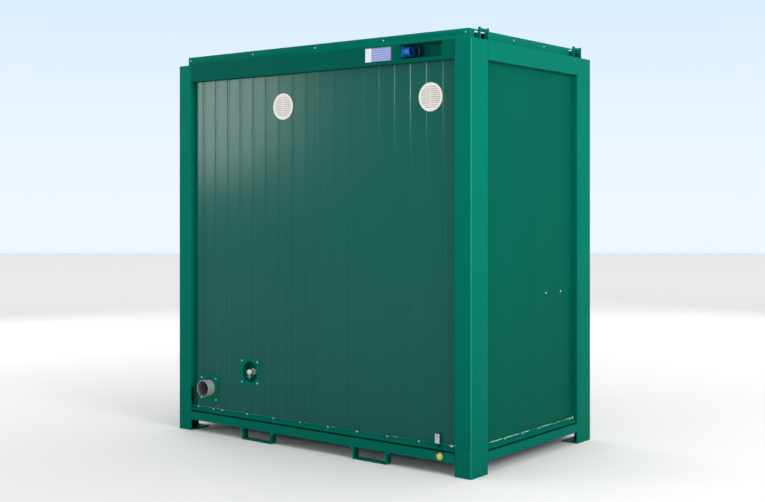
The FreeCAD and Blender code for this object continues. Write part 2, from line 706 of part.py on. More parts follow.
def ribbed_outline(start, end, outer_y):
    """Outline of a sheet with shallow grooves, measured from the joint at the middle."""
    outer = [(start, 0.0)]
    for i in range(int(end / RIB_PITCH)):
        middle = (i + 0.5) * RIB_PITCH
        if start < middle - RIB_WIDTH / 2 and middle + RIB_WIDTH / 2 < end:
            outer += [(middle - RIB_WIDTH / 2, 0.0), (middle - RIB_WIDTH / 2 + RIB_SLOPE, RIB_DEPTH),
                      (middle + RIB_WIDTH / 2 - RIB_SLOPE, RIB_DEPTH), (middle + RIB_WIDTH / 2, 0.0)]
    outer.append((end, 0.0))
    inner = [(x, depth + WALL_SKIN) for x, depth in reversed(outer)]
    return [(x, outer_y + depth) for x, depth in outer + inner]


def rear_wall_panels(cutters):
    """Two ribbed steel sheets that meet at the middle of the service side."""
    outline = ribbed_outline(PANEL_JOINT / 2, ROOM_X, -WALL_FACE_Y)
    sheet = along_z(outline, WALL_BOTTOM, WALL_TOP)
    return [s.cut(wall_holes() + cutters) for s in two_ends(sheet)]


def waste_window():
    """The square left free round the waste pipe, as (x0, x1, z0, z1)."""
    half = WASTE_RADIUS + WASTE_HOLE_GAP
    return WASTE_X - half, WASTE_X + half, WASTE_Z - half, WASTE_Z + half


def foam_windows():
    """The squares left free in the rear wall's foam, as (x0, x1, z0, z1)."""
    round_things = [(WATER_X, WATER_Z, CUP_RADIUS + FIT)]
    round_things += [(x, VENT_Z, VENT_SLEEVE_RADIUS + VENT_HOLE_GAP) for x in VENTS_X]
    return [waste_window()] + [(x - r, x + r, z - r, z + r) for x, z, r in round_things]


def strips_round(start, end, low, high, windows):
    """Rectangles that fill a larger one beside, below and above its windows."""
    strips = []
    for left, right, bottom, top in sorted(windows):
        strips += [(start, left, low, high), (left, right, low, bottom), (left, right, top, high)]
        start = right
    return strips + [(start, end, low, high)]


def rear_boards(front, back, windows):
    """Boards inside the rear wall, between two depths from its face, cut to fit round windows."""
    boards = []
    for x0, x1 in ((-ROOM_X, -PANEL_JOINT / 2), (PANEL_JOINT / 2, ROOM_X)):
        inside = [w for w in windows if x0 < w[0] and w[1] < x1]
        boards += strips_round(x0, x1, WALL_BOTTOM, WALL_TOP, inside)
    return [box(x0, x1, -WALL_FACE_Y + front, -WALL_FACE_Y + back, z0, z1).cut(screw_holes())
            for x0, x1, z0, z1 in boards]


def rear_linings():
    """White boards inside the rear wall, with level joints above and below the waste pipe."""
    left, right, bottom, top = waste_window()
    level = strips_round(WALL_BOTTOM, WALL_TOP, -ROOM_X, -PANEL_JOINT / 2, [(bottom, top, left, right)])
    boards = [(x0, x1, z0, z1) for z0, z1, x0, x1 in level]
    boards.append((PANEL_JOINT / 2, ROOM_X, WALL_BOTTOM, WALL_TOP))
    return [box(x0, x1, -WALL_FACE_Y + CORE_BACK, -ROOM_Y, z0, z1).cut(wall_holes() + screw_holes())
            for x0, x1, z0, z1 in boards]


def end_layers(front, back):
    """A layer of the short walls, between two depths from their faces."""
    wall = box(WALL_FACE_X - back, WALL_FACE_X - front, -POST_INNER_Y, POST_INNER_Y, WALL_BOTTOM, WALL_TOP)
    return [s.cut(screw_holes()) for s in two_ends(wall)]


def front_blocks():
    """Where the front wall is solid: beside, between and above the doors, as (x0, x1, z0)."""
    door_left, door_right = DOOR_X - FRAME_OUTER, DOOR_X + FRAME_OUTER
    beside = [(door_right, ROOM_X, WALL_BOTTOM), (-ROOM_X, -door_right, WALL_BOTTOM)]
    between = [(-door_left, door_left, WALL_BOTTOM)]
    above = [(door_left, door_right, FRAME_TOP_Z), (-door_right, -door_left, FRAME_TOP_Z)]
    return beside + between + above


def front_layers(front, back):
    """A layer of the door side's wall, between two depths from its face."""
    return [box(x0, x1, WALL_FACE_Y - back, WALL_FACE_Y - front, z0, WALL_TOP).cut(screw_holes())
            for x0, x1, z0 in front_blocks()]


def end_wall_panels(cutters):
    """Plain steel sheets on the short sides."""
    return [s.cut(cutters) for s in end_layers(0, WALL_SKIN)]


def front_wall_panels(cutters):
    """Plain steel sheets round the doors."""
    return [s.cut(cutters) for s in front_layers(0, WALL_SKIN)]


def wall_linings():
    """White boards on the inside of the outer walls."""
    return rear_linings() + end_layers(CORE_BACK, WALL_DEPTH) + front_layers(CORE_BACK, WALL_DEPTH)


def partition_wall():
    """The wall between the cubicles, with holes for the soil and water pipes."""
    wall = box(-PARTITION_X, PARTITION_X, -ROOM_Y, ROOM_Y, BOARD_TOP, WALL_TOP)
    soil = rod((-PARTITION_X, SOIL_Y, WASTE_Z), (PARTITION_X, SOIL_Y, WASTE_Z), WASTE_RADIUS + FIT)
    water = rod((-PARTITION_X, WATER_Y, WATER_Z), (PARTITION_X, WATER_Y, WATER_Z), WATER_PIPE_RADIUS + FIT)
    return [wall.cut([soil, water])]


def ceiling_panels():
    """A white board over each cubicle, resting on the long walls."""
    board = box(0, ROOM_X, -ROOF_CORE_Y, ROOF_CORE_Y, WALL_TOP, WALL_TOP + CEILING)
    return two_ends(board)


# Roof

def roof_sheet(cutters):
    """One crowned sheet with its edges turned down inside the trim."""
    half = TRIM_Y - TRIM_SHEET - 2 * FIT
    foot = FRAME_TOP + TRIM_SHEET
    side_top = roof_height(half) + SHEET
    top = [(-half, side_top), (0, roof_height(0) + SHEET), (half, side_top)]
    edge = half - SHEET
    under = [(edge, foot), (edge, roof_height(edge)), (0, roof_height(0)), (-edge, roof_height(edge)),
             (-edge, foot)]
    outline = [(-half, foot)] + top + [(half, foot)] + under
    reach = TRIM_X - TRIM_SHEET - 2 * FIT
    return [along_x(outline, -reach, reach).cut(cutters)]


def trim_outline(face):
    """Outline of the roof trim: a fascia with a flange inwards at its top and foot."""
    t = TRIM_SHEET
    foot, top = FRAME_TOP, TRIM_TOP
    return [(-face, foot), (-face + TRIM_FOOT_FLANGE, foot), (-face + TRIM_FOOT_FLANGE, foot + t),
            (-face + t, foot + t), (-face + t, top - t), (-face + TRIM_TOP_FLANGE, top - t),
            (-face + TRIM_TOP_FLANGE, top), (-face, top)]


def roof_trim(cutters):
    """Four folded strips round the roof; the short ones are notched behind the lifting points."""
    long_trim = along_x(trim_outline(TRIM_Y), -TRIM_X + TRIM_SHEET, TRIM_X - TRIM_SHEET)
    fascia = box(-TRIM_X, -TRIM_X + TRIM_SHEET, -TRIM_Y, TRIM_Y, FRAME_TOP, TRIM_TOP)
    inner = TRIM_Y - TRIM_FOOT_FLANGE
    foot = box(-TRIM_X, -TRIM_X + TRIM_FOOT_FLANGE, -inner, inner, FRAME_TOP, FRAME_TOP + TRIM_SHEET)
    inner_top = TRIM_Y - TRIM_TOP_FLANGE
    top = box(-TRIM_X, -TRIM_X + TRIM_TOP_FLANGE, -inner_top, inner_top, TRIM_TOP - TRIM_SHEET, TRIM_TOP)
    notch = box(-TRIM_X, -TRIM_X + TRIM_SHEET, BAIL_CENTRE - NOTCH_WIDTH / 2, BAIL_CENTRE + NOTCH_WIDTH / 2,
                FRAME_TOP + NOTCH_BOTTOM, FRAME_TOP + NOTCH_TOP)
    short_trim = joined([fascia, foot, top]).cut(two_sides(notch))
    return [s.cut(cutters) for s in two_sides(long_trim) + two_ends(short_trim)]


# Flashing

def flashing_outline(wall_face):
    """Outline of the drip flashing: up the wall, out on a slope, and down to a lip."""
    t = FLASHING_SHEET
    nose = -wall_face - FLASHING_REACH
    return [(-wall_face, FLASHING_TOP), (-wall_face - t, FLASHING_TOP), (-wall_face - t, FLASHING_KNEE),
            (nose, FLASHING_NOSE), (nose, FLASHING_LIP), (nose + t, FLASHING_LIP),
            (nose + t, FLASHING_NOSE - t), (-wall_face, FLASHING_KNEE - t)]


def base_flashings(cutters):
    """Drip flashings between the posts, and beside the doors on their side."""
    rear = along_x(flashing_outline(WALL_FACE_Y), -ROOM_X, ROOM_X)
    ends = two_ends(along_y(flashing_outline(WALL_FACE_X), -POST_INNER_Y, POST_INNER_Y))
    front = [flip_y(along_x(flashing_outline(WALL_FACE_Y), x0, x1))
             for x0, x1, z0 in front_blocks() if z0 == WALL_BOTTOM]
    return [s.cut(cutters) for s in [rear] + ends + front]


# Screws, each as a place on a face and the way out of that face

def spread(half_span, pitch, inset):
    """Even places along a strip, near the given pitch."""
    count = max(2, round((2 * half_span - 2 * inset) / pitch) + 1)
    return [-half_span + inset + i * (2 * half_span - 2 * inset) / (count - 1) for i in range(count)]


def flashing_screw_places():
    """Screws through the flashing into the walls."""
    z = FLASHING_TOP - SCREW_HEAD_RADIUS
    face_y, face_x = WALL_FACE_Y + FLASHING_SHEET, WALL_FACE_X + FLASHING_SHEET
    edge = PLATE_SCREW_INSET * 2
    along = spread(ROOM_X, FLASHING_SCREW_PITCH, FLASHING_SCREW_INSET)
    along.append(along[0] + FLASHING_EXTRA_SCREW)
    long_side = [((x, -face_y, z), (0, -1, 0)) for x in along]
    short_side = [((side * face_x, y, z), (side, 0, 0)) for side in (-1, 1)
                  for y in spread(POST_INNER_Y, FLASHING_END_PITCH, edge)]
    front = [(((x0 + x1) / 2, face_y, z), (0, 1, 0)) for x0, x1, z0 in front_blocks() if z0 == WALL_BOTTOM]
    return long_side + short_side + front


def roof_screw_places():
    """Screws in the fascia of the roof trim."""
    z = FRAME_TOP + ROOF_SCREW_HEIGHT
    end, half = TRIM_X - ROOF_SCREW_INSET, ROOF_END_SCREW_SPACING / 2
    along = [-end, *ROOF_BEAMS_X, end]
    long_side = [((x, side * TRIM_Y, z), (0, side, 0)) for side in (-1, 1) for x in along]
    short_side = [((side * TRIM_X, y, z), (side, 0, 0)) for side in (-1, 1) for y in (-half, half)]
    return long_side + short_side


def plate_middles():
    """The middles of the waste and water plates as (x, z)."""
    return (WASTE_X, WASTE_Z - WASTE_PLATE_DROP), (WATER_X - WATER_PLATE_SHIFT, WATER_Z)


def service_plate_screws():
    """The screws at the corners of the waste and water plates."""
    reach, y = SERVICE_PLATE / 2 - PLATE_SCREW_INSET, -WALL_FACE_Y - PLATE_SHEET
    return [((x + i * reach, y, z + k * reach), (0, -1, 0))
            for x, z in plate_middles() for i in (-1, 1) for k in (-1, 1)]


def square_plate(x, z):
    """A square plate on the rear wall."""
    half, face = SERVICE_PLATE / 2, -WALL_FACE_Y
    return box(x - half, x + half, face - PLATE_SHEET, face, z - half, z + half)


def paper_bolt_places():
    """The two bolts through each short wall that hold the paper case inside."""
    return [((WALL_FACE_X, y, PAPER_BOLT_Z), (1, 0, 0)) for y in PAPER_BOLT_Y]


def screw(place, way, radius, length, head_radius, head):
    """A round-headed screw that stands in a face."""
    face, out = Vector(*place), Vector(*way)
    shank = Part.makeCylinder(radius, length, face - out * length, out)
    cap = Part.makeCylinder(head_radius, head, face, out)
    return cap.fuse(shank).removeSplitter()


def all_small_screws():
    """Every small screw's place."""
    return flashing_screw_places() + roof_screw_places() + service_plate_screws()


def screw_holes():
    """Cutters that give each screw and bolt its hole."""
    small = [screw(p, w, SCREW_RADIUS + SCREW_FIT, SCREW_LENGTH + SCREW_FIT, SCREW_RADIUS + SCREW_FIT, 1)
             for p, w in all_small_screws()]
    large = [rod(p, (p[0] - WALL_DEPTH - BOLT_THROUGH, p[1], p[2]), BOLT_RADIUS + SCREW_FIT)
             for p, w in paper_bolt_places()]
    return small + large


def trim_screws():
    """All small screws, and the two bolts on the visible short side."""
    small = [screw(p, w, SCREW_RADIUS, SCREW_LENGTH, SCREW_HEAD_RADIUS, SCREW_HEAD)
             for p, w in all_small_screws()]
    large = [screw(p, w, BOLT_RADIUS, WALL_DEPTH + BOLT_THROUGH, BOLT_HEAD_RADIUS, BOLT_HEAD)
             for p, w in paper_bolt_places()]
    return small + large


# Service fittings on the rear wall

def vent(x):
    """A round louvre with its sleeve through the wall, and the grille inside."""
    face, back = -WALL_FACE_Y, -ROOM_Y
    bore = VENT_SLEEVE_RADIUS - VENT_SLEEVE_WALL
    flange = rod((x, face - VENT_FLANGE, VENT_Z), (x, face, VENT_Z), VENT_FLANGE_RADIUS)
    sleeve = rod((x, face, VENT_Z), (x, back, VENT_Z), VENT_SLEEVE_RADIUS)
    hole = rod((x, face - VENT_FLANGE, VENT_Z), (x, back, VENT_Z), bore)
    ring = flange.fuse(sleeve).cut(hole)
    pitch = 2 * bore / (VENT_SLATS + 1)
    slats = []
    for i in range(VENT_SLATS):
        z = VENT_Z - bore + (i + 1) * pitch
        y = face - VENT_FLANGE + VENT_SLAT_DEPTH / 2
        flat = box(x - bore - 1, x + bore + 1, y - VENT_SLAT_DEPTH / 2, y + VENT_SLAT_DEPTH / 2,
                   z - VENT_SLAT_THICKNESS / 2, z + VENT_SLAT_THICKNESS / 2)
        slats.append(turned(flat, (x, y, z), X_AXIS, 35))
    rib = box(x - VENT_RIB / 2, x + VENT_RIB / 2, face - VENT_FLANGE, face - VENT_FLANGE + VENT_SLAT_DEPTH,
              VENT_Z - bore - 1, VENT_Z + bore + 1)
    core = rod((x, face - VENT_FLANGE, VENT_Z), (x, face + VENT_SLAT_DEPTH * 2, VENT_Z), bore + 0.5)
    louvre = joined([ring] + [s.common(core) for s in slats + [rib]])
    inside = rod((x, back, VENT_Z), (x, back + VENT_FLANGE, VENT_Z), VENT_FLANGE_RADIUS)
    slots = [box(x - bore, x + bore, back, back + VENT_FLANGE, VENT_Z - bore + (i + 0.5) * pitch,
                 VENT_Z - bore + (i + 1.1) * pitch) for i in range(VENT_SLATS)]
    window = rod((x, back, VENT_Z), (x, back + VENT_FLANGE, VENT_Z), bore - VENT_RIB)
    return [louvre, inside.cut([s.common(window) for s in slots])]


def wall_vents():
    """The two air vents, high in the service side."""
    return [s for x in VENTS_X for s in vent(x)]


def waste_plate():
    """A flat plate round the waste pipe."""
    face, plate = -WALL_FACE_Y, square_plate(*plate_middles()[0])
    hole = rod((WASTE_X, face - PLATE_SHEET, WASTE_Z), (WASTE_X, face, WASTE_Z),
               WASTE_RADIUS + WASTE_HOLE_GAP)
    return plate.cut(hole)


def pan_x(side):
    """Middle of a cubicle's toilet."""
    return CUBICLES[side] + PAN_FROM_WALL


def basin_x(side):
    """Middle of a cubicle's washbasin."""
    return RIGHT_WALLS[side] - BASIN_FROM_WALL


def basin_drain_y():
    """Middle of the bowl of a washbasin."""
    back = -ROOM_Y + BASIN_DECK
    front = -ROOM_Y + BASIN_DEPTH - BASIN_WALL
    return (back + front) / 2


def waste_pipes():
    """The soil pipe with its open end outside, and a trap and drop under each basin."""
    outside = -WALL_FACE_Y - WASTE_REACH
    last = basin_x("right") + SOCKET_LENGTH
    route = [(WASTE_X, outside, WASTE_Z), (WASTE_X, SOIL_Y, WASTE_Z), (last, SOIL_Y, WASTE_Z)]
    inner = [route[0], route[1], (last - WASTE_WALL, SOIL_Y, WASTE_Z)]
    bore = WASTE_RADIUS - WASTE_WALL
    outer_shapes = [pipe_run(route, WASTE_RADIUS, WASTE_BEND)]
    inner_shapes = [pipe_run(inner, bore, WASTE_BEND)]
    pan_back = -ROOM_Y + PAN_BACK
    for side in CUBICLES:
        x = pan_x(side)
        mouth = pan_back - FIT
        outer_shapes.append(rod((x, SOIL_Y, WASTE_Z), (x, mouth, WASTE_Z), WASTE_RADIUS))
        inner_shapes.append(rod((x, SOIL_Y, WASTE_Z), (x, mouth, WASTE_Z), bore))
    soil = joined(outer_shapes).cut(joined(inner_shapes))
    outlet = box(WASTE_X - WASTE_RADIUS, WASTE_X + WASTE_RADIUS, outside, SOIL_Y - WASTE_BEND,
                 WASTE_Z - WASTE_RADIUS, WASTE_Z + WASTE_RADIUS)
    return [soil.common(outlet), soil.cut(outlet)] + [basin_trap(side) for side in CUBICLES]


def basin_trap(side):
    """Tailpiece, bottle trap and drop pipe under a washbasin."""
    x, y = basin_x(side), basin_drain_y()
    underside = FLOOR + BASIN_RIM - BASIN_HEIGHT
    bottle_top, bottle_bottom = underside - 50, underside - 150
    side_z = bottle_top - 25
    top = WASTE_Z + WASTE_RADIUS
    return joined([
        rod((x, y, bottle_top), (x, y, underside), DRAIN_RADIUS),
        rod((x, y, underside - 12), (x, y, underside), DRAIN_RADIUS * 1.6),
        rod((x, y, bottle_bottom), (x, y, bottle_top), 30),
        pipe_run([(x, y, side_z), (x, SOIL_Y, side_z), (x, SOIL_Y, top)], BASIN_WASTE_RADIUS,
                 BASIN_WASTE_RADIUS * 1.5),
    ])


def water_cup():
    """A pressed plate with a round cup that sets the water inlet back into the wall."""
    face, plate = -WALL_FACE_Y, square_plate(*plate_middles()[1])
    cup = rod((WATER_X, face, WATER_Z), (WATER_X, face + CUP_DEPTH, WATER_Z), CUP_RADIUS)
    hollow = rod((WATER_X, face - PLATE_SHEET, WATER_Z), (WATER_X, face + CUP_DEPTH - CUP_WALL, WATER_Z),
                 CUP_RADIUS - CUP_WALL)
    hole = rod((WATER_X, face, WATER_Z), (WATER_X, face + CUP_DEPTH, WATER_Z), INLET_BODY_RADIUS + FIT)
    return joined([plate, cup]).cut([hollow, hole])


def inner_waste_plate():
    """A plate on the lining inside, round the waste pipe."""
    half, back = SERVICE_PLATE / 2, -ROOM_Y
    x, z = plate_middles()[0]
    plate = box(x - half, x + half, back, back + PLATE_SHEET, z - half, z + half)
    hole = rod((WASTE_X, back, WASTE_Z), (WASTE_X, back + PLATE_SHEET, WASTE_Z),
               WASTE_RADIUS + WASTE_HOLE_GAP)
    return plate.cut(hole)


def service_plates(cutters):
    """The waste plate outside and inside, and the water inlet's plate with its cup."""
    return [plate.cut(cutters) for plate in (waste_plate(), water_cup())] + [inner_waste_plate()]


def water_inlet():
    """A stop valve with a round hose end, out of the cup's bottom."""
    ball_y, root_y = valve_y(), -WALL_FACE_Y + CUP_DEPTH + FIT
    body = rod((WATER_X, ball_y, WATER_Z), (WATER_X, root_y, WATER_Z), INLET_BODY_RADIUS)
    nut_end = -WALL_FACE_Y + CUP_DEPTH - CUP_WALL - FIT
    nut = rod((WATER_X, nut_end - INLET_NUT_LENGTH, WATER_Z), (WATER_X, nut_end, WATER_Z), INLET_NUT_RADIUS)
    ball = Part.makeSphere(INLET_BALL_RADIUS, Vector(WATER_X, ball_y, WATER_Z))
    mouth = box(WATER_X - INLET_BALL_RADIUS, WATER_X + INLET_BALL_RADIUS,
                ball_y - INLET_BALL_RADIUS, ball_y - INLET_MOUTH,
                WATER_Z - INLET_BALL_RADIUS, WATER_Z + INLET_BALL_RADIUS)
    stem = rod((WATER_X, ball_y, WATER_Z), (WATER_X, ball_y, WATER_Z - VALVE_STEM_LENGTH), VALVE_STEM_RADIUS)
    bore = rod((WATER_X, ball_y - INLET_BALL_RADIUS, WATER_Z), (WATER_X, root_y, WATER_Z), INLET_BORE)
    return [joined([body, nut, ball, stem]).cut([mouth, bore])]


def valve_y():
    """Where the valve's ball and stem are, along Y."""
    return -WALL_FACE_Y - INLET_BALL_STANDOFF


def water_valve_lever():
    """The two-winged handle on the stop valve's stem, under the ball."""
    y, low = valve_y(), WATER_Z - VALVE_STEM_LENGTH - 1
    t, reach, top = VALVE_WING_THICKNESS, VALVE_WING_REACH, low + VALVE_WING_RISE
    hub = rod((WATER_X, y, low), (WATER_X, y, low + VALVE_HUB_HEIGHT), VALVE_HUB_RADIUS)
    outline = [(-t, low), (t, low), (reach, top), (reach - t, top + t), (0, low + t),
               (-reach + t, top + t), (-reach, top)]
    wings = along_y([(WATER_X + x, z) for x, z in outline],
                    y - VALVE_WING_WIDTH / 2, y + VALVE_WING_WIDTH / 2)
    hole = rod((WATER_X, y, low), (WATER_X, y, top), VALVE_STEM_RADIUS + RUN_GAP)
    return [joined([hub, wings]).cut(hole)]


def cistern_bottom():
    """Height of the underside of the cisterns."""
    return FLOOR + CISTERN_UNDERSIDE


def water_pipes():
    """The cold main along the rear wall, its stub to the inlet, and a riser to each cistern and tap."""
    first, last = pan_x("left") - CISTERN_FEED_OFFSET, basin_x("right")
    main = rod((first - WATER_PIPE_RADIUS, WATER_Y, WATER_Z), (last + WATER_PIPE_RADIUS, WATER_Y, WATER_Z),
               WATER_PIPE_RADIUS)
    inlet_end = -WALL_FACE_Y + CUP_DEPTH + FIT
    branches = [rod((WATER_X, inlet_end, WATER_Z), (WATER_X, WATER_Y, WATER_Z), WATER_PIPE_RADIUS)]
    for side in CUBICLES:
        ends = ((pan_x(side) - CISTERN_FEED_OFFSET, cistern_bottom()),
                (basin_x(side), FLOOR + BASIN_RIM - BASIN_HEIGHT))
        branches += [rod((x, WATER_Y, WATER_Z), (x, WATER_Y, top), WATER_PIPE_RADIUS) for x, top in ends]
    return [main] + [branch.cut(main) for branch in branches]


# Power pocket, inlet and lid

def pocket_back_y():
    """The back of the power pocket, in front of the roof's foam."""
    return -ROOF_CORE_Y - SHEET - FIT * 5


def power_y():
    """Middle of the power inlet along Y, with room behind it for the lid's hinge."""
    return pocket_back_y() - POWER_RADIUS - INLET_LID_BARREL * 3


def inlet_pocket():
    """A folded box behind the opening in the rear top rail, open to the front."""
    t, back, face = SHEET, pocket_back_y(), -HALF_DEPTH + RAIL_WALL
    top = FRAME_TOP - RAIL_WALL
    outer = box(POCKET_LEFT - t, POCKET_RIGHT + t, face, back + t, POCKET_BOTTOM - t, top)
    inner = box(POCKET_LEFT, POCKET_RIGHT, face, back, POCKET_BOTTOM, top)
    hole = rod((POCKET_LEFT - t, power_y(), POWER_CENTRE_Z), (POCKET_LEFT, power_y(), POWER_CENTRE_Z),
               POWER_RADIUS / 2)
    return [outer.cut([inner, hole])]


def power_front_x():
    """The open end of the power inlet."""
    return POCKET_LEFT + POWER_FLANGE_THICKNESS + POWER_LENGTH


def lid_axis():
    """The upright hinge line of the inlet's lid, behind its open end, as (x, y)."""
    return power_front_x() - INLET_LID_PIN, power_y() + POWER_RADIUS + INLET_LID_BARREL - FIT * 3


def power_inlet():
    """A round three-pin inlet on a square flange, with a hinge block for its lid."""
    y, z, left = power_y(), POWER_CENTRE_Z, POCKET_LEFT
    half, front = POWER_FLANGE / 2, power_front_x()
    flange = box(left, left + POWER_FLANGE_THICKNESS, y - half, y + half, z - half, z + half)
    shroud = rod((left, y, z), (front, y, z), POWER_RADIUS)
    well = rod((left + POWER_FLANGE_THICKNESS, y, z), (front, y, z), POWER_RADIUS - POWER_WALL)
    ax, ay = lid_axis()
    block = box(ax - INLET_LID_BARREL, front, y + POWER_RADIUS - POWER_WALL, ay + INLET_LID_PIN,
                z - INLET_LID_EAR, z + INLET_LID_EAR)
    pin = rod((ax, ay, z - INLET_LID_EAR * 2), (ax, ay, z + INLET_LID_EAR * 2), INLET_LID_PIN)
    body = joined([flange, shroud, block]).cut(well)
    pins = []
    for angle in (90, 210, 330):
        py = y + POWER_PIN_CIRCLE * math.cos(math.radians(angle))
        pz = z + POWER_PIN_CIRCLE * math.sin(math.radians(angle))
        pins.append(rod((left + POWER_FLANGE_THICKNESS, py, pz), (front - POWER_LENGTH / 4, py, pz),
                        POWER_PIN_RADIUS))
    return [joined([body, pin])] + pins


def inlet_lid():
    """The round lid of the power inlet, modelled shut and then swung open on its upright hinge."""
    y, z, front = power_y(), POWER_CENTRE_Z, power_front_x() + FIT
    ax, ay = lid_axis()
    back = front + INLET_LID_THICKNESS
    shapes = [rod((front, y, z), (back, y, z), POWER_RADIUS)]
    for side in (-1, 1):
        near, far = z + side * (INLET_LID_EAR + FIT), z + side * INLET_LID_EAR * 2
        shapes += [rod((ax, ay, near), (ax, ay, far), INLET_LID_BARREL),
                   box(ax, back, ay - INLET_LID_PIN, ay + INLET_LID_PIN, near, far),
                   box(front, back, y, ay, near, far)]
    hole = rod((ax, ay, z - POWER_RADIUS), (ax, ay, z + POWER_RADIUS), INLET_LID_PIN + RUN_GAP)
    shut = joined(shapes).cut(hole)
    return [turned(shut, (ax, ay, z), Z_AXIS, INLET_LID_OPEN)]


def label_plate():
    """A bare plate on the rear top rail."""
    face = -HALF_DEPTH
    return [box(LABEL_RIGHT - LABEL_WIDTH, LABEL_RIGHT, face - LABEL_SHEET, face,
                LABEL_BOTTOM, LABEL_BOTTOM + LABEL_HEIGHT)]


def earthing_point():
    """A bent lug on the wall for the earth clamp, and the round plate below it."""
    face = -WALL_FACE_Y
    out, t = face - EARTH_LUG_STANDOFF, EARTH_LUG_SHEET
    half = EARTH_LUG_WIDTH / 2
    foot = EARTH_LUG_BOTTOM
    outline = [(face, foot), (out - t, foot), (out - t, EARTH_LUG_TOP), (out, EARTH_LUG_TOP),
               (out, foot + t), (face, foot + t)]
    lug = along_x(outline, EARTH_LUG_X - half, EARTH_LUG_X + half)
    stud = rod((EARTH_LUG_X, out - t, EARTH_LUG_TOP - half), (EARTH_LUG_X, out, EARTH_LUG_TOP - half),
               BOLT_RADIUS)
    disc = rod((EARTH_DISC_X, -HALF_DEPTH - LABEL_SHEET, EARTH_DISC_Z),
               (EARTH_DISC_X, -HALF_DEPTH, EARTH_DISC_Z), EARTH_DISC_RADIUS)
    return [lug.cut(stud), disc]


# Doors: the left one is made, the right one is its mirror image

def for_side(side, shapes):
    """The left door's shapes, mirrored for the right door."""
    return shapes if side == "left" else [flip_x(s) for s in shapes]


def hinge_edge():
    """The left door's hinge edge."""
    return -DOOR_X - DOOR_WIDTH / 2


def lock_edge():
    """The left door's lock edge."""
    return -DOOR_X + DOOR_WIDTH / 2


def hinge_axis():
    """The left door's hinge axis as (x, y)."""
    return hinge_edge() - DOOR_GAP / 2, WALL_FACE_Y + HINGE_STANDOFF


def hinge_heights():
    """Middle heights of a door's hinges."""
    low, high = DOOR_BOTTOM + HINGE_END_INSET, DOOR_TOP - HINGE_END_INSET
    return [low + i * (high - low) / (HINGES - 1) for i in range(HINGES)]


def spindle_x():
    """The left door's lever spindle."""
    return lock_edge() - LEVER_BACKSET


def frame_section(outer, inner, toward, inset):
    """Outline of a frame's profile with its door stop, as (across, y), drawn in by an inset."""
    step = WALL_FACE_Y - DOOR_THICKNESS - SEAL_GAP - inset
    back, face = ROOM_Y + inset, WALL_FACE_Y - inset
    far, near, stop = outer + toward * inset, inner - toward * inset, inner + toward * (FRAME_STOP - inset)
    return [(far, back), (stop, back), (stop, step), (near, step), (near, face), (far, face)]


def door_jamb(outer, inner, toward):
    """One hollow upright of the left door's frame."""
    solid = along_z(frame_section(outer, inner, toward, 0), WALL_BOTTOM, FRAME_TOP_Z)
    hollow = along_z(frame_section(outer, inner, toward, FRAME_WALL),
                     WALL_BOTTOM + FRAME_WALL, FRAME_TOP_Z - FRAME_WALL)
    return solid, hollow


def door_frames():
    """Two folded steel door frames, each with two jambs, a head and a sill."""
    left, right = -DOOR_X - FRAME_OUTER, -DOOR_X + FRAME_OUTER
    inner_l, inner_r = left + FRAME_FACE, right - FRAME_FACE
    low, high = DOOR_BOTTOM - DOOR_GAP, DOOR_TOP + DOOR_GAP
    solid_l, hollow_l = door_jamb(left, inner_l, 1)
    solid_r, hollow_r = door_jamb(right, inner_r, -1)
    across, within = (inner_l, inner_r), (inner_l + FRAME_WALL * 2, inner_r - FRAME_WALL * 2)
    section, core = (frame_section(FRAME_TOP_Z, high, -1, inset) for inset in (0, FRAME_WALL))
    head = along_x([(y, z) for z, y in section], *across).cut(along_x([(y, z) for z, y in core], *within))
    sill = box(*across, ROOM_Y, WALL_FACE_Y, WALL_BOTTOM, low)
    sill = sill.cut(box(*within, ROOM_Y + FRAME_WALL, WALL_FACE_Y - FRAME_WALL,
                        WALL_BOTTOM + FRAME_WALL, low - FRAME_WALL))
    pieces = [solid_l.cut(hollow_l), solid_r.cut([hollow_r] + lock_pockets())]
    pieces += [head.cut([solid_l, solid_r]), sill.cut([solid_l, solid_r])]
    return [s for piece in pieces for s in two_ends(piece)]


def lock_pockets():
    """Recesses in the left door's lock jamb for its two bolts and the strike plate."""
    jamb = lock_edge() + DOOR_GAP
    y = WALL_FACE_Y - DOOR_THICKNESS / 2
    z = LEVER_Z - LOCK_BOLT_DROP
    half_y, half_z = LOCK_BOLT_THICKNESS / 2 + 2, LOCK_BOLT_HEIGHT / 2 + 3
    strike = box(jamb, jamb + PLATE_SHEET, y - ROSE_WIDTH / 4, y + ROSE_WIDTH / 4,
                 z - LOCK_BOLT_HEIGHT * 2, z + LOCK_BOLT_HEIGHT * 2)
    pocket = box(jamb, jamb + LOCK_BOLT_TRAVEL + 4, y - half_y, y + half_y, z - half_z, z + half_z)
    bolt_y, bolt_z = slide_bolt_y(), LEVER_Z + SLIDE_BOLT_RISE
    bolt = rod((jamb - FRAME_STOP, bolt_y, bolt_z), (jamb + SLIDE_BOLT_TRAVEL / 2, bolt_y, bolt_z),
               SLIDE_BOLT_RADIUS + 1)
    return [strike, pocket, bolt]


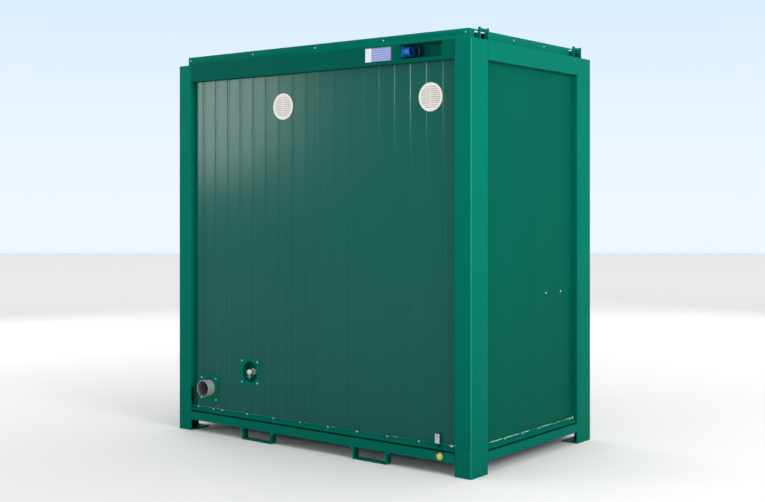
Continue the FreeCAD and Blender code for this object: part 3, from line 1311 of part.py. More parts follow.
def frame_fittings():
    """On each frame: three hinge halves with their pins, and the strike plate."""
    ax, ay = hinge_axis()
    shapes = []
    for z in hinge_heights():
        barrel = rod((ax, ay, z - HINGE_KNUCKLE), (ax, ay, z), HINGE_RADIUS)
        pin = rod((ax, ay, z), (ax, ay, z + HINGE_KNUCKLE - 3), HINGE_PIN_RADIUS)
        leaf = box(ax - HINGE_LEAF_WIDTH, ax, WALL_FACE_Y, WALL_FACE_Y + HINGE_LEAF,
                   z - HINGE_KNUCKLE, z)
        shapes.append(joined([barrel, pin, leaf]))
    jamb = lock_edge() + DOOR_GAP
    y, z = WALL_FACE_Y - DOOR_THICKNESS / 2, LEVER_Z - LOCK_BOLT_DROP
    strike = box(jamb, jamb + PLATE_SHEET, y - ROSE_WIDTH / 4, y + ROSE_WIDTH / 4,
                 z - LOCK_BOLT_HEIGHT * 2, z + LOCK_BOLT_HEIGHT * 2)
    window = box(jamb, jamb + PLATE_SHEET, y - LOCK_BOLT_THICKNESS / 2 - 1, y + LOCK_BOLT_THICKNESS / 2 + 1,
                 z - LOCK_BOLT_HEIGHT / 2 - 1, z + LOCK_BOLT_HEIGHT / 2 + 1)
    shapes.append(strike.cut(window))
    return [s for piece in shapes for s in two_ends(piece)]


def door_leaf(side):
    """A hollow steel door leaf with a pocket for the lock and holes for the spindle."""
    face, back = WALL_FACE_Y, WALL_FACE_Y - DOOR_THICKNESS
    outer = box(hinge_edge(), lock_edge(), back, face, DOOR_BOTTOM, DOOR_TOP)
    t = DOOR_SKIN
    hollow = box(hinge_edge() + t, lock_edge() - t, back + t, face - t, DOOR_BOTTOM + t, DOOR_TOP - t)
    y, z = (face + back) / 2, LEVER_Z - LOCK_BOLT_DROP
    bolt = box(lock_edge() - t, lock_edge(), y - LOCK_BOLT_THICKNESS / 2 - FIT,
               y + LOCK_BOLT_THICKNESS / 2 + FIT, z - LOCK_BOLT_HEIGHT / 2 - FIT,
               z + LOCK_BOLT_HEIGHT / 2 + FIT)
    x = spindle_x()
    spindle = rod((x, back, LEVER_Z), (x, face, LEVER_Z), LEVER_NECK_RADIUS + 1)
    return for_side(side, [outer.cut([hollow, bolt, spindle])])


def lock_case():
    """The lock's hollow case inside the left leaf, open for its bolt and spindle."""
    y = WALL_FACE_Y - DOOR_THICKNESS / 2
    right = lock_edge() - DOOR_SKIN
    low, high = LEVER_Z - LOCK_HEIGHT * 0.6, LEVER_Z + LOCK_HEIGHT * 0.4
    half, t = LOCK_THICKNESS / 2, LOCK_WALL
    outer = box(right - LOCK_DEPTH, right, y - half, y + half, low, high)
    inner = box(right - LOCK_DEPTH + t, right - t, y - half + t, y + half - t, low + t, high - t)
    z = LEVER_Z - LOCK_BOLT_DROP
    bolt = box(right - t, right, y - LOCK_BOLT_THICKNESS / 2 - FIT, y + LOCK_BOLT_THICKNESS / 2 + FIT,
               z - LOCK_BOLT_HEIGHT / 2 - FIT, z + LOCK_BOLT_HEIGHT / 2 + FIT)
    x = spindle_x()
    spindle = rod((x, y - half, LEVER_Z), (x, y + half, LEVER_Z), SPINDLE_RADIUS + RUN_GAP)
    return outer.cut([inner, bolt, spindle])


def rose(face, way):
    """A back plate for a lever on one face of the left leaf."""
    x = spindle_x()
    plate = box(x - ROSE_WIDTH / 2, x + ROSE_WIDTH / 2, face, face + way * ROSE_THICKNESS,
                LEVER_Z - ROSE_HEIGHT * 0.65, LEVER_Z + ROSE_HEIGHT * 0.35)
    outer_face = face + way * ROSE_THICKNESS
    rim = [e for e in plate.Edges if all(abs(v.Point.y - outer_face) < 1e-6 for v in e.Vertexes)]
    rounded = plate.makeFillet(ROSE_THICKNESS * 0.6, rim)
    hole = rod((x, face, LEVER_Z), (x, face + way * ROSE_THICKNESS, LEVER_Z), LEVER_NECK_RADIUS + FIT)
    return rounded.cut(hole)


def slide_bolt_y():
    """Middle of the privacy bolt along Y."""
    return WALL_FACE_Y - DOOR_THICKNESS - SLIDE_BOLT_STANDOFF


def slide_bolt_end():
    """Where the left door's privacy bolt ends when it is drawn back."""
    return lock_edge() - SLIDE_BOLT_SETBACK


def slide_bolt_guide():
    """The plate and two guide loops of the privacy bolt."""
    back, z = WALL_FACE_Y - DOOR_THICKNESS, LEVER_Z + SLIDE_BOLT_RISE
    y, end = slide_bolt_y(), slide_bolt_end()
    plate = box(end - SLIDE_BOLT_LENGTH + 4, end, back - HINGE_LEAF, back, z - 18, z + 18)
    loops = [box(a, a + SLIDE_BOLT_STRAP, y - SLIDE_BOLT_RADIUS - 3, back - HINGE_LEAF, z - 10, z + 10)
             for a in (end - SLIDE_BOLT_LENGTH + 6, end - SLIDE_BOLT_STRAP - 2)]
    bore = rod((end - SLIDE_BOLT_LENGTH, y, z), (end + 1, y, z), SLIDE_BOLT_RADIUS + RUN_GAP)
    return joined([plate] + loops).cut(bore)


def door_fittings(side):
    """On a leaf: its hinge halves, lock case, two back plates and the bolt's guide."""
    ax, ay = hinge_axis()
    shapes = []
    for z in hinge_heights():
        barrel = rod((ax, ay, z + FIT), (ax, ay, z + HINGE_KNUCKLE), HINGE_RADIUS)
        leaf = box(ax, ax + HINGE_LEAF_WIDTH, WALL_FACE_Y, WALL_FACE_Y + HINGE_LEAF, z + FIT,
                   z + HINGE_KNUCKLE)
        bore = rod((ax, ay, z), (ax, ay, z + HINGE_KNUCKLE - 2), HINGE_PIN_RADIUS + RUN_GAP)
        shapes.append(joined([barrel, leaf]).cut(bore))
    shapes += [lock_case(), rose(WALL_FACE_Y, 1), rose(WALL_FACE_Y - DOOR_THICKNESS, -1), slide_bolt_guide()]
    return for_side(side, shapes)


def lever(face, way):
    """One lever of the left door: a neck out of the back plate and a bar towards the hinges."""
    x, bar_y = spindle_x(), face + way * LEVER_STANDOFF
    neck = rod((x, face + way * FIT, LEVER_Z), (x, bar_y, LEVER_Z), LEVER_NECK_RADIUS)
    bar = rod((x, bar_y, LEVER_Z), (x - LEVER_LENGTH, bar_y, LEVER_Z), LEVER_BAR_RADIUS)
    elbow = Part.makeSphere(LEVER_BAR_RADIUS, Vector(x, bar_y, LEVER_Z))
    tip = rod((x - LEVER_LENGTH, bar_y, LEVER_Z), (x - LEVER_LENGTH, bar_y - way * 20, LEVER_Z),
              LEVER_BAR_RADIUS)
    corner = Part.makeSphere(LEVER_BAR_RADIUS, Vector(x - LEVER_LENGTH, bar_y, LEVER_Z))
    return [neck, bar, elbow, tip, corner]


def door_lever(side):
    """The two levers of a door, fixed to one spindle that runs through the lock."""
    face, back = WALL_FACE_Y, WALL_FACE_Y - DOOR_THICKNESS
    spindle = rod((spindle_x(), back - FIT, LEVER_Z), (spindle_x(), face + FIT, LEVER_Z), SPINDLE_RADIUS)
    return for_side(side, [joined(lever(face, 1) + lever(back, -1) + [spindle])])


def lock_bolt(side):
    """The square bolt that the levers throw out of the lock."""
    y, z = WALL_FACE_Y - DOOR_THICKNESS / 2, LEVER_Z - LOCK_BOLT_DROP
    end = lock_edge() - FIT
    half_y, half_z = LOCK_BOLT_THICKNESS / 2, LOCK_BOLT_HEIGHT / 2
    return for_side(side, [box(end - LOCK_BOLT_LENGTH, end, y - half_y, y + half_y, z - half_z, z + half_z)])


def privacy_bolt(side):
    """The round bolt inside the door, with its knob."""
    y, z, end = slide_bolt_y(), LEVER_Z + SLIDE_BOLT_RISE, slide_bolt_end()
    bar = rod((end - SLIDE_BOLT_LENGTH, y, z), (end, y, z), SLIDE_BOLT_RADIUS)
    knob_x = end - SLIDE_BOLT_LENGTH / 2 - SLIDE_BOLT_TRAVEL / 2
    knob = rod((knob_x, y, z), (knob_x, y - 26, z), SLIDE_BOLT_RADIUS)
    grip = rod((knob_x, y - 18, z), (knob_x, y - 30, z), SLIDE_BOLT_RADIUS * 1.8)
    return for_side(side, [joined([bar, knob, grip])])


# Toilets

def pan_back_y():
    """The back of the pans."""
    return -ROOM_Y + PAN_BACK


def toilet_pan(x):
    """A pan with its bowl, a way out at the back and a hollow foot."""
    back = pan_back_y()
    front = back + PAN_LENGTH
    rim, half = FLOOR + PAN_HEIGHT, PAN_WIDTH / 2
    length = (PAN_LENGTH - 40) / 2
    middle = front - length
    foot_half = PAN_FOOT_WIDTH / 2
    body = Part.makeLoft([oval(x, middle - 45, FLOOR, foot_half, length - 65),
                          oval(x, middle - 35, FLOOR + PAN_HEIGHT * 0.45, foot_half + 12, length - 50),
                          oval(x, middle, rim, half, length)], True)
    deck = box(x - PAN_DECK_WIDTH / 2, x + PAN_DECK_WIDTH / 2, back, back + PAN_DECK_LENGTH, FLOOR, rim)
    bowl = Part.makeLoft([oval(x, middle + 6, rim, half - BOWL_WALL, length - BOWL_WALL),
                          oval(x, middle - 10, rim - PAN_HEIGHT * 0.4, half * 0.5, length * 0.5),
                          oval(x, middle - 20, WASTE_Z - 8, half * 0.3, length * 0.24)], True)
    way_out = rod((x, middle - 20, WASTE_Z), (x, back - SPIGOT_LENGTH, WASTE_Z), SPIGOT_BORE)
    spigot = rod((x, back + FOOT_PLATE, WASTE_Z), (x, back - SPIGOT_LENGTH, WASTE_Z), SPIGOT_RADIUS)
    flush = rod((x, back, FLOOR + FLUSH_PIPE_HEIGHT), (x, middle - length * 0.55, FLOOR + FLUSH_PIPE_HEIGHT),
                FLUSH_PIPE_RADIUS + FIT)
    hollow = Part.makeLoft([oval(x, middle - 45, FLOOR, foot_half - 22, length - 90),
                            oval(x, middle - 45, FLOOR + 82, foot_half - 30, length - 100)], True)
    return joined([body, deck, spigot]).cut([bowl, way_out, flush, hollow])


def seat_axis():
    """The hinge line of seat and lid as (y, z)."""
    z = FLOOR + PAN_HEIGHT + SEAT_LIFT + SEAT_THICKNESS / 2
    return pan_back_y() + SEAT_HINGE_FROM_BACK, z


def seat_pillars(x):
    """Two blocks on the pan, each with a pin through it for the seat and the lid."""
    y, z = seat_axis()
    rim = FLOOR + PAN_HEIGHT
    shapes = []
    for side in (-1, 1):
        middle = x + side * SEAT_HINGE_SPACING / 2
        block = box(middle - SEAT_BLOCK_WIDTH / 2, middle + SEAT_BLOCK_WIDTH / 2,
                    y - SEAT_PIN_RADIUS * 2, y + SEAT_PIN_RADIUS * 2, rim, z + SEAT_PIN_RADIUS)
        reach = SEAT_BLOCK_WIDTH / 2 + FIT + SEAT_LUG_WIDTH
        pin = rod((middle - reach, y, z), (middle + reach, y, z), SEAT_PIN_RADIUS)
        shapes.append(joined([block, pin]))
    return shapes


def toilet_pans():
    """Both pans with their hinge pillars."""
    return [s for side in CUBICLES for s in [toilet_pan(pan_x(side))] + seat_pillars(pan_x(side))]


def seat_oval(x, z, inset):
    """An oval on the pan's rim, drawn in by an inset."""
    length = (PAN_LENGTH - 40) / 2
    middle = pan_back_y() + PAN_LENGTH - length
    return oval(x, middle, z, PAN_WIDTH / 2 + SEAT_OVERHANG - inset, length + SEAT_OVERHANG - inset)


def oval_plate(x, z0, z1, inset):
    """A flat plate with the seat's outline."""
    return Part.Face(seat_oval(x, z0, inset)).extrude(Vector(0, 0, z1 - z0))


def lugs(x, offset, top, reach):
    """Two lugs with round ends about the hinge line, joined forward to a plate."""
    y, z = seat_axis()
    shapes = []
    for side in (-1, 1):
        near = x + side * offset
        far = near + side * SEAT_LUG_WIDTH
        shapes.append(rod((near, y, z), (far, y, z), SEAT_LUG_RADIUS))
        shapes.append(box(near, far, y, y + reach, z - SEAT_LUG_RADIUS + 1, top))
    return shapes


def pin_hole(x):
    """The bore for the hinge pins, right across."""
    y, z = seat_axis()
    return rod((x - PAN_WIDTH / 2, y, z), (x + PAN_WIDTH / 2, y, z), SEAT_PIN_RADIUS + RUN_GAP)


def toilet_seat(side):
    """The seat ring with its lugs between the pillars."""
    x = pan_x(side)
    bottom = FLOOR + PAN_HEIGHT + SEAT_LIFT
    top = bottom + SEAT_THICKNESS
    offset = SEAT_HINGE_SPACING / 2 - SEAT_BLOCK_WIDTH / 2 - FIT - SEAT_LUG_WIDTH
    y = seat_axis()[0]
    clear = box(x - PAN_WIDTH, x + PAN_WIDTH, y - PAN_LENGTH, y + SEAT_LUG_RADIUS + 6, bottom - 1, top + 1)
    ring = oval_plate(x, bottom, top, 0).cut([oval_plate(x, bottom, top, SEAT_RING), clear])
    return [joined([ring] + lugs(x, offset, top, SEAT_LUG_RADIUS + 30)).cut(pin_hole(x))]


def toilet_lid(side):
    """The lid, modelled down and then raised to lean back."""
    x = pan_x(side)
    bottom = FLOOR + PAN_HEIGHT + SEAT_LIFT + SEAT_THICKNESS + LID_GAP
    offset = SEAT_HINGE_SPACING / 2 + SEAT_BLOCK_WIDTH / 2 + FIT
    y, z = seat_axis()
    clear = box(x - PAN_WIDTH, x + PAN_WIDTH, y - PAN_LENGTH, y + SEAT_LUG_RADIUS + 4,
                bottom - 1, bottom + LID_THICKNESS + 1)
    plate = oval_plate(x, bottom, bottom + LID_THICKNESS, 0).cut(clear)
    arms = []
    for way in (-1, 1):
        near = x + way * offset
        far = near + way * SEAT_LUG_WIDTH
        arms.append(rod((near, y, z), (far, y, z), SEAT_LUG_RADIUS))
        arms.append(box(near, far, y, y + SEAT_LUG_RADIUS, z, bottom + LID_THICKNESS))
        arms.append(box(near, far, y, y + SEAT_LUG_RADIUS + 30, bottom, bottom + LID_THICKNESS))
    closed = joined([plate] + arms).cut(pin_hole(x))
    return [turned(closed, (x, y, z), X_AXIS, LID_OPEN_ANGLE)]


def cisterns():
    """Both cisterns, each with its flush pipe, flush valve and fill valve."""
    shapes = []
    for side in CUBICLES:
        x, low = pan_x(side), cistern_bottom()
        high = low + CISTERN_HEIGHT
        back, front = -ROOM_Y, -ROOM_Y + CISTERN_DEPTH
        half, t = CISTERN_WIDTH / 2, CISTERN_WALL
        tank = rounded_block(x - half, x + half, back, front, low, high, CISTERN_WALL * 3)
        hollow = box(x - half + t * 2, x + half - t * 2, back + t, front - t, low + t, high - t)
        button = rod((x, button_y(), high - t), (x, button_y(), high), BUTTON_RADIUS + FIT)
        tank = tank.cut([hollow, button])
        y, joint = button_y(), FLOOR + FLUSH_PIPE_HEIGHT
        pipe = pipe_run([(x, y, low), (x, y, joint), (x, pan_back_y() + PAN_DECK_LENGTH / 4, joint)],
                        FLUSH_PIPE_RADIUS, FLUSH_PIPE_RADIUS * 1.5)
        valve = rod((x, y, low + t), (x, y, high - BUTTON_HEIGHT * 3), BUTTON_RADIUS)
        feed_x = x - CISTERN_FEED_OFFSET
        fill = rod((feed_x, y, low + t), (feed_x, y, high - BUTTON_HEIGHT * 3), WATER_PIPE_RADIUS)
        shapes += [tank, pipe, valve, fill]
    return shapes


def button_y():
    """Middle of the flush button and flush pipe along Y."""
    return -ROOM_Y + CISTERN_DEPTH / 2


def flush_button(side):
    """The round button in the top of a cistern."""
    x, top = pan_x(side), cistern_bottom() + CISTERN_HEIGHT + BUTTON_PROUD
    return [rod((x, button_y(), top - BUTTON_HEIGHT), (x, button_y(), top), BUTTON_RADIUS)]


# Washbasins and taps

def wash_basin(x):
    """A basin with a deck for the tap and a drain hole."""
    back, rim = -ROOM_Y, FLOOR + BASIN_RIM
    middle = back + BASIN_DEPTH / 2
    outer = Part.makeLoft([rounded_rectangle(x, middle, rim, BASIN_WIDTH, BASIN_DEPTH, 30),
                           rounded_rectangle(x, back + BASIN_DEPTH * 0.38, rim - BASIN_HEIGHT,
                                             BASIN_WIDTH * 0.66, BASIN_DEPTH * 0.76, 30)], True)
    y = basin_drain_y()
    width, depth = BASIN_WIDTH - 2 * BASIN_WALL, BASIN_DEPTH - BASIN_DECK - BASIN_WALL
    bowl = Part.makeLoft([rounded_rectangle(x, y, rim, width, depth, 40),
                          rounded_rectangle(x, y, rim - BASIN_HEIGHT + BASIN_FLOOR, width * 0.52,
                                            depth * 0.58, 24)], True)
    drain = rod((x, y, rim - BASIN_HEIGHT), (x, y, rim), DRAIN_RADIUS)
    return outer.cut([bowl, drain])


def wash_basins():
    """Both washbasins."""
    return [wash_basin(basin_x(side)) for side in CUBICLES]


def tap_y():
    """Middle of the taps along Y."""
    return -ROOM_Y + TAP_SETBACK


def basin_taps():
    """Both tap bodies, each with a spout and a stem for its lever."""
    shapes = []
    for side in CUBICLES:
        x, y, low = basin_x(side), tap_y(), FLOOR + BASIN_RIM
        high = low + TAP_HEIGHT
        body = rod((x, y, low), (x, y, high), TAP_RADIUS)
        spout_z = high - SPOUT_RADIUS * 2.2
        spout = pipe_run([(x, y, spout_z), (x, y + SPOUT_REACH, spout_z),
                          (x, y + SPOUT_REACH, spout_z - SPOUT_RADIUS * 2)], SPOUT_RADIUS,
                         SPOUT_RADIUS * 1.5)
        stem = rod((x, y, high), (x, y, high + TAP_HUB_HEIGHT - 3), TAP_STEM_RADIUS)
        shapes.append(joined([body, spout, stem]))
    return shapes


def tap_lever(side):
    """The lever on a tap, a hub with a flat arm."""
    x, y, low = basin_x(side), tap_y(), FLOOR + BASIN_RIM + TAP_HEIGHT + FIT
    hub = rod((x, y, low), (x, y, low + TAP_HUB_HEIGHT), TAP_RADIUS * 0.9)
    arm = rounded_block(x - TAP_STEM_RADIUS, x + TAP_STEM_RADIUS, y, y + TAP_LEVER_LENGTH,
                        low + TAP_HUB_HEIGHT / 2, low + TAP_HUB_HEIGHT, TAP_STEM_RADIUS / 2)
    hole = rod((x, y, low), (x, y, low + TAP_HUB_HEIGHT - 3), TAP_STEM_RADIUS + RUN_GAP)
    return [joined([hub, arm]).cut(hole)]


# Other fittings inside

def paper_case(wall_x):
    """A steel case for a large paper roll on a wall to its right, in boards, with a slot below."""
    y = sum(PAPER_BOLT_Y) / 2
    half, edge = PAPER_CASE_WIDTH / 2, PAPER_CASE_EDGE
    front, back = wall_x - PAPER_CASE_DEPTH, wall_x - PAPER_CASE_WALL
    y0, y1 = y - half, y + half
    top = PAPER_BOLT_Z + PAPER_CASE_HEIGHT / 3
    low = top - PAPER_CASE_HEIGHT
    outer = box(front, wall_x, y0, y1, low, top)
    corners = [e for e in outer.Edges if all(abs(v.Point.x - front) < 1e-6 for v in e.Vertexes)]
    outer = outer.makeFillet(edge, corners)
    slot = (front + back - PAPER_SLOT) / 2, (front + back + PAPER_SLOT) / 2
    end = edge + PAPER_SLOT_END
    boards = [(back, wall_x, y0, y1, low, top),
              (front, back, y0, y0 + edge, low, top), (front, back, y1 - edge, y1, low, top),
              (front, back, y0 + edge, y1 - edge, top - edge, top),
              (front, front + PAPER_CASE_WALL, y0 + edge, y1 - edge, low + edge, top - edge),
              (front, slot[0], y0 + edge, y1 - edge, low, low + edge),
              (slot[1], back, y0 + edge, y1 - edge, low, low + edge),
              (slot[0], slot[1], y0 + edge, y0 + end, low, low + edge),
              (slot[0], slot[1], y1 - end, y1 - edge, low, low + edge)]
    return [outer.common(box(*board)) for board in boards]


def washroom_fittings(cutters):
    """In each cubicle: a polished steel mirror, a paper case and a coat hook."""
    shapes = []
    for side in CUBICLES:
        x, back = basin_x(side), -ROOM_Y
        low = FLOOR + MIRROR_BOTTOM
        shapes.append(box(x - MIRROR_WIDTH / 2, x + MIRROR_WIDTH / 2, back, back + MIRROR_SHEET,
                          low, low + MIRROR_HEIGHT))
        wall_x = -PARTITION_X if side == "left" else ROOM_X
        shapes += [board.cut(cutters) for board in paper_case(wall_x)]
        y, z = sum(PAPER_BOLT_Y) / 2, LEVER_Z + ROSE_HEIGHT * 3
        hook = pipe_run([(wall_x, y, z), (wall_x - 45, y, z), (wall_x - 55, y, z + 30)], SPINDLE_RADIUS,
                        SPINDLE_RADIUS * 1.5)
        plate = box(wall_x - PLATE_SHEET, wall_x, y - 15, y + 15, z - 30, z + 30)
        shapes.append(joined([hook, plate]))
    return shapes


def ceiling_lights():
    """A round lamp under each ceiling."""
    shapes = []
    for side in CUBICLES:
        x = CUBICLES[side] + (ROOM_X - PARTITION_X) / 2
        shapes.append(Part.makeCone(LIGHT_RADIUS * 0.86, LIGHT_RADIUS, LIGHT_HEIGHT,
                                    Vector(x, 0, WALL_TOP - LIGHT_HEIGHT)))
    return shapes


def flap_axis():
    """The hinge line of the fuse box's flap as (y, z)."""
    front = -ROOM_Y + UNIT_DEPTH
    z = UNIT_TOP - UNIT_HEIGHT / 2 + FLAP_HEIGHT / 2
    return front + FLAP_BARREL + FIT, z


def consumer_unit():
    """The fuse box high on the rear wall, with its row of breakers and hinge brackets."""
    low, t = UNIT_TOP - UNIT_HEIGHT, UNIT_WALL
    back, front = -ROOM_Y, -ROOM_Y + UNIT_DEPTH
    left, right = UNIT_X - UNIT_WIDTH / 2, UNIT_X + UNIT_WIDTH / 2
    case = box(left, right, back, front, low, low + UNIT_HEIGHT)
    inside = box(left + t, right - t, back + t, front - t, low + t, low + UNIT_HEIGHT - t)
    middle = low + UNIT_HEIGHT / 2
    window = box(UNIT_X - FLAP_WIDTH / 2 + 12, UNIT_X + FLAP_WIDTH / 2 - 12, front - t, front,
                 middle - FLAP_HEIGHT / 2 + 14, middle + FLAP_HEIGHT / 2 - 14)
    y, z = flap_axis()
    shapes = [case.cut([inside, window])]
    breakers = box(UNIT_X - FLAP_WIDTH / 2 + 16, UNIT_X + FLAP_WIDTH / 2 - 16, back + t, front - t - 2,
                   middle - FLAP_HEIGHT / 2 + 18, middle + FLAP_HEIGHT / 2 - 18)
    shapes.append(breakers)
    brackets = []
    for way in (-1, 1):
        near = UNIT_X + way * (FLAP_WIDTH / 2 + FIT)
        far = near + way * 8
        brackets.append(box(near, far, front, y + FLAP_BARREL, z - FLAP_BARREL, z + FLAP_BARREL))
        brackets.append(rod((near, y, z), (near - way * 10, y, z), FLAP_PIN))
    top, conduit_y = low + UNIT_HEIGHT, back + CONDUIT_RADIUS + t
    brackets.append(rod((UNIT_X, conduit_y, top), (UNIT_X, conduit_y, WALL_TOP), CONDUIT_RADIUS))
    shapes[0] = joined([shapes[0]] + brackets)
    return shapes


def consumer_flap():
    """The clear flap over the breakers, hung along its top edge."""
    y, z = flap_axis()
    left, right = UNIT_X - FLAP_WIDTH / 2, UNIT_X + FLAP_WIDTH / 2
    barrel = rod((left, y, z), (right, y, z), FLAP_BARREL)
    front = -ROOM_Y + UNIT_DEPTH + FIT
    pane = box(left, right, front, front + FLAP_THICKNESS, z - FLAP_HEIGHT, z)
    lip = box(left + 50, right - 50, front, front + FLAP_THICKNESS * 2.5, z - FLAP_HEIGHT,
              z - FLAP_HEIGHT + 5)
    hole = rod((left, y, z), (right, y, z), FLAP_PIN + RUN_GAP)
    return [joined([barrel, pane, lip]).cut(hole)]


def main():
    """Make every node and write it."""
    os.makedirs("parts", exist_ok=True)
    holes = screw_holes()
    save("corner_posts", corner_posts())
    save("corner_feet", corner_feet())
    save("top_rails", top_rails())
    save("bottom_rails", bottom_rails())
    save("fork_pockets", fork_pockets())
    save("lifting_bails", lifting_bails())
    save("cross_beams", cross_beams())
    save("underfloor_sheet", underfloor_sheet())
    save("floor_board", floor_board())
    save("floor_covering", floor_covering())
    save("insulation", insulation())
    save("rear_wall_panels", rear_wall_panels(holes))
    save("end_wall_panels", end_wall_panels(holes))
    save("front_wall_panels", front_wall_panels(holes))
    save("wall_linings", wall_linings())
    save("partition_wall", partition_wall())
    save("ceiling_panels", ceiling_panels())
    save("roof_sheet", roof_sheet(holes))
    save("roof_trim", roof_trim(holes))
    save("base_flashings", base_flashings(holes))
    save("trim_screws", trim_screws())
    save("wall_vents", wall_vents())
    save("waste_pipes", waste_pipes())
    save("service_plates", service_plates(holes))
    save("water_inlet", water_inlet())
    save("water_valve_lever", water_valve_lever())
    save("water_pipes", water_pipes())
    save("inlet_pocket", inlet_pocket())
    save("power_inlet", power_inlet())
    save("inlet_lid", inlet_lid())
    save("label_plate", label_plate())
    save("earthing_point", earthing_point())
    save("door_frames", door_frames())
    save("frame_fittings", frame_fittings())
    save("toilet_pans", toilet_pans())
    save("cisterns", cisterns())
    save("wash_basins", wash_basins())
    save("basin_taps", basin_taps())
    save("washroom_fittings", washroom_fittings(holes))
    save("ceiling_lights", ceiling_lights())
    save("consumer_unit", consumer_unit())
    save("consumer_flap", consumer_flap())
    for side in CUBICLES:
        save("door_leaf_" + side, door_leaf(side))
        save("door_fittings_" + side, door_fittings(side))
        save("door_lever_" + side, door_lever(side))
        save("lock_bolt_" + side, lock_bolt(side))
        save("privacy_bolt_" + side, privacy_bolt(side))
        save("toilet_seat_" + side, toilet_seat(side))
        save("toilet_lid_" + side, toilet_lid(side))
        save("flush_button_" + side, flush_button(side))
        save("tap_lever_" + side, tap_lever(side))


main()
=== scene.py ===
"""The looks of a steel toilet cabin with two cubicles: finishes, small pieces, light and camera."""

import json
import logging
import math
from dataclasses import dataclass
from enum import Enum
from functools import partialmethod
from typing import Any, Iterable, Sequence

import bmesh
import bpy
from mathutils import Matrix, Vector


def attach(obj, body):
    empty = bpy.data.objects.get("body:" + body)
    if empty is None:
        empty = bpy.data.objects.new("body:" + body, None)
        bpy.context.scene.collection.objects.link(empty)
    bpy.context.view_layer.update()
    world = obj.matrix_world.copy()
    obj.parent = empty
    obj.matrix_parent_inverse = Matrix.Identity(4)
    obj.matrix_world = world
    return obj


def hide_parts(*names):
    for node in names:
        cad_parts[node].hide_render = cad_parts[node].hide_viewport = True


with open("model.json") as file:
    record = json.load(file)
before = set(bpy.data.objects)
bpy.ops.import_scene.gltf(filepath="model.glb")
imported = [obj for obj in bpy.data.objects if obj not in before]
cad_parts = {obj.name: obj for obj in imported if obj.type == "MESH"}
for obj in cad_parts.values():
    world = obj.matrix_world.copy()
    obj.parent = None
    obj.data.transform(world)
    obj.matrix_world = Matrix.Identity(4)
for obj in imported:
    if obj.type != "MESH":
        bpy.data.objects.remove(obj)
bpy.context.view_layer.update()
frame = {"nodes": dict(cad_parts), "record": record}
MM = 0.001
# How near points are, in metres, to count as one, as one in a turned shape, and as on a plane.
JOIN, FINE_JOIN, ON_PLANE = 1e-5, 1e-6, 1e-4
# The mitre of a bar's corner follows the turn down to this cosine of half its angle.
SHARPEST = 0.35
# The signs of X and Y at the cabin's four corners.
CORNERS = [(x, y) for x in (-1, 1) for y in (-1, 1)]
log = logging.getLogger("cabin")

Pair = tuple[float, float]
Triple = tuple[float, float, float]
Point = Sequence[float]
Shape = bmesh.types.BMesh
Ring = list[bmesh.types.BMVert]
Material = bpy.types.Material

BODY_OF = {node: body for body, nodes in frame["record"]["behaviour"]["bodies"].items() for node in nodes}
SLOT_OF = {part["node"]: part["material_slot"] for part in frame["record"]["subparts"]}


class Side(Enum):
    """The two cubicles, with the sign of their side of the partition."""

    LEFT = -1
    RIGHT = 1

    @property
    def tag(self) -> str:
        """The end of the names of this side's nodes and bodies."""
        return self.name.lower()


def mm(*points: Point) -> list[tuple[float, ...]]:
    """Turn points in millimetres into metres."""
    return [tuple(value * MM for value in point) for point in points]


def rgb(red: float, green: float, blue: float) -> Triple:
    """Turn a colour as a screen shows it into the values that a shader adds up.

    Args:
        red, green, blue: The colour from 0 to 255.

    Returns:
        The same colour as linear light from 0 to 1.
    """
    def channel(value: float) -> float:
        """One of the three, by the usual curve of a screen."""
        share = value / 255
        return share / 12.92 if share <= 0.04045 else ((share + 0.055) / 1.055) ** 2.4
    return channel(red), channel(green), channel(blue)


def share_of(colour: Triple, share: float) -> Triple:
    """A colour with its light taken down to a share."""
    return tuple(c * share for c in colour)


class Signal:
    """A node's output that takes part in sums, as a Python number does."""

    def __init__(self, graph: "Graph", socket: bpy.types.NodeSocket) -> None:
        """Hold one output of a graph's node."""
        self.graph = graph
        self.socket = socket

    def _sum(self, operation: str, other: Any, swapped: bool = False) -> "Signal":
        """Add a Math node for this signal and another value."""
        first, second = (other, self) if swapped else (self, other)
        return self.graph.math(operation, first, second)

    __add__ = __radd__ = partialmethod(_sum, "ADD")
    __sub__ = partialmethod(_sum, "SUBTRACT")
    __rsub__ = partialmethod(_sum, "SUBTRACT", swapped=True)
    __mul__ = partialmethod(_sum, "MULTIPLY")

    def above(self, edge: float) -> "Signal":
        """1 where the signal is over an edge, else 0."""
        return self._sum("GREATER_THAN", edge)

    def rise(self, low: float, high: float) -> "Signal":
        """A smooth step from 0 at low to 1 at high; a fall if low is the larger."""
        if low > high:
            return 1 - self.rise(high, low)
        return self.graph.node("ShaderNodeMapRange", {"interpolation_type": "SMOOTHSTEP", "clamp": True},
                               {"Value": self, "From Min": low, "From Max": high}, "Result")

    def band(self, middle: float, half: float, soft: float) -> "Signal":
        """1 within half of a middle, falling to 0 over a soft edge."""
        return self.graph.math("ABSOLUTE", self - middle).rise(half + soft, half)


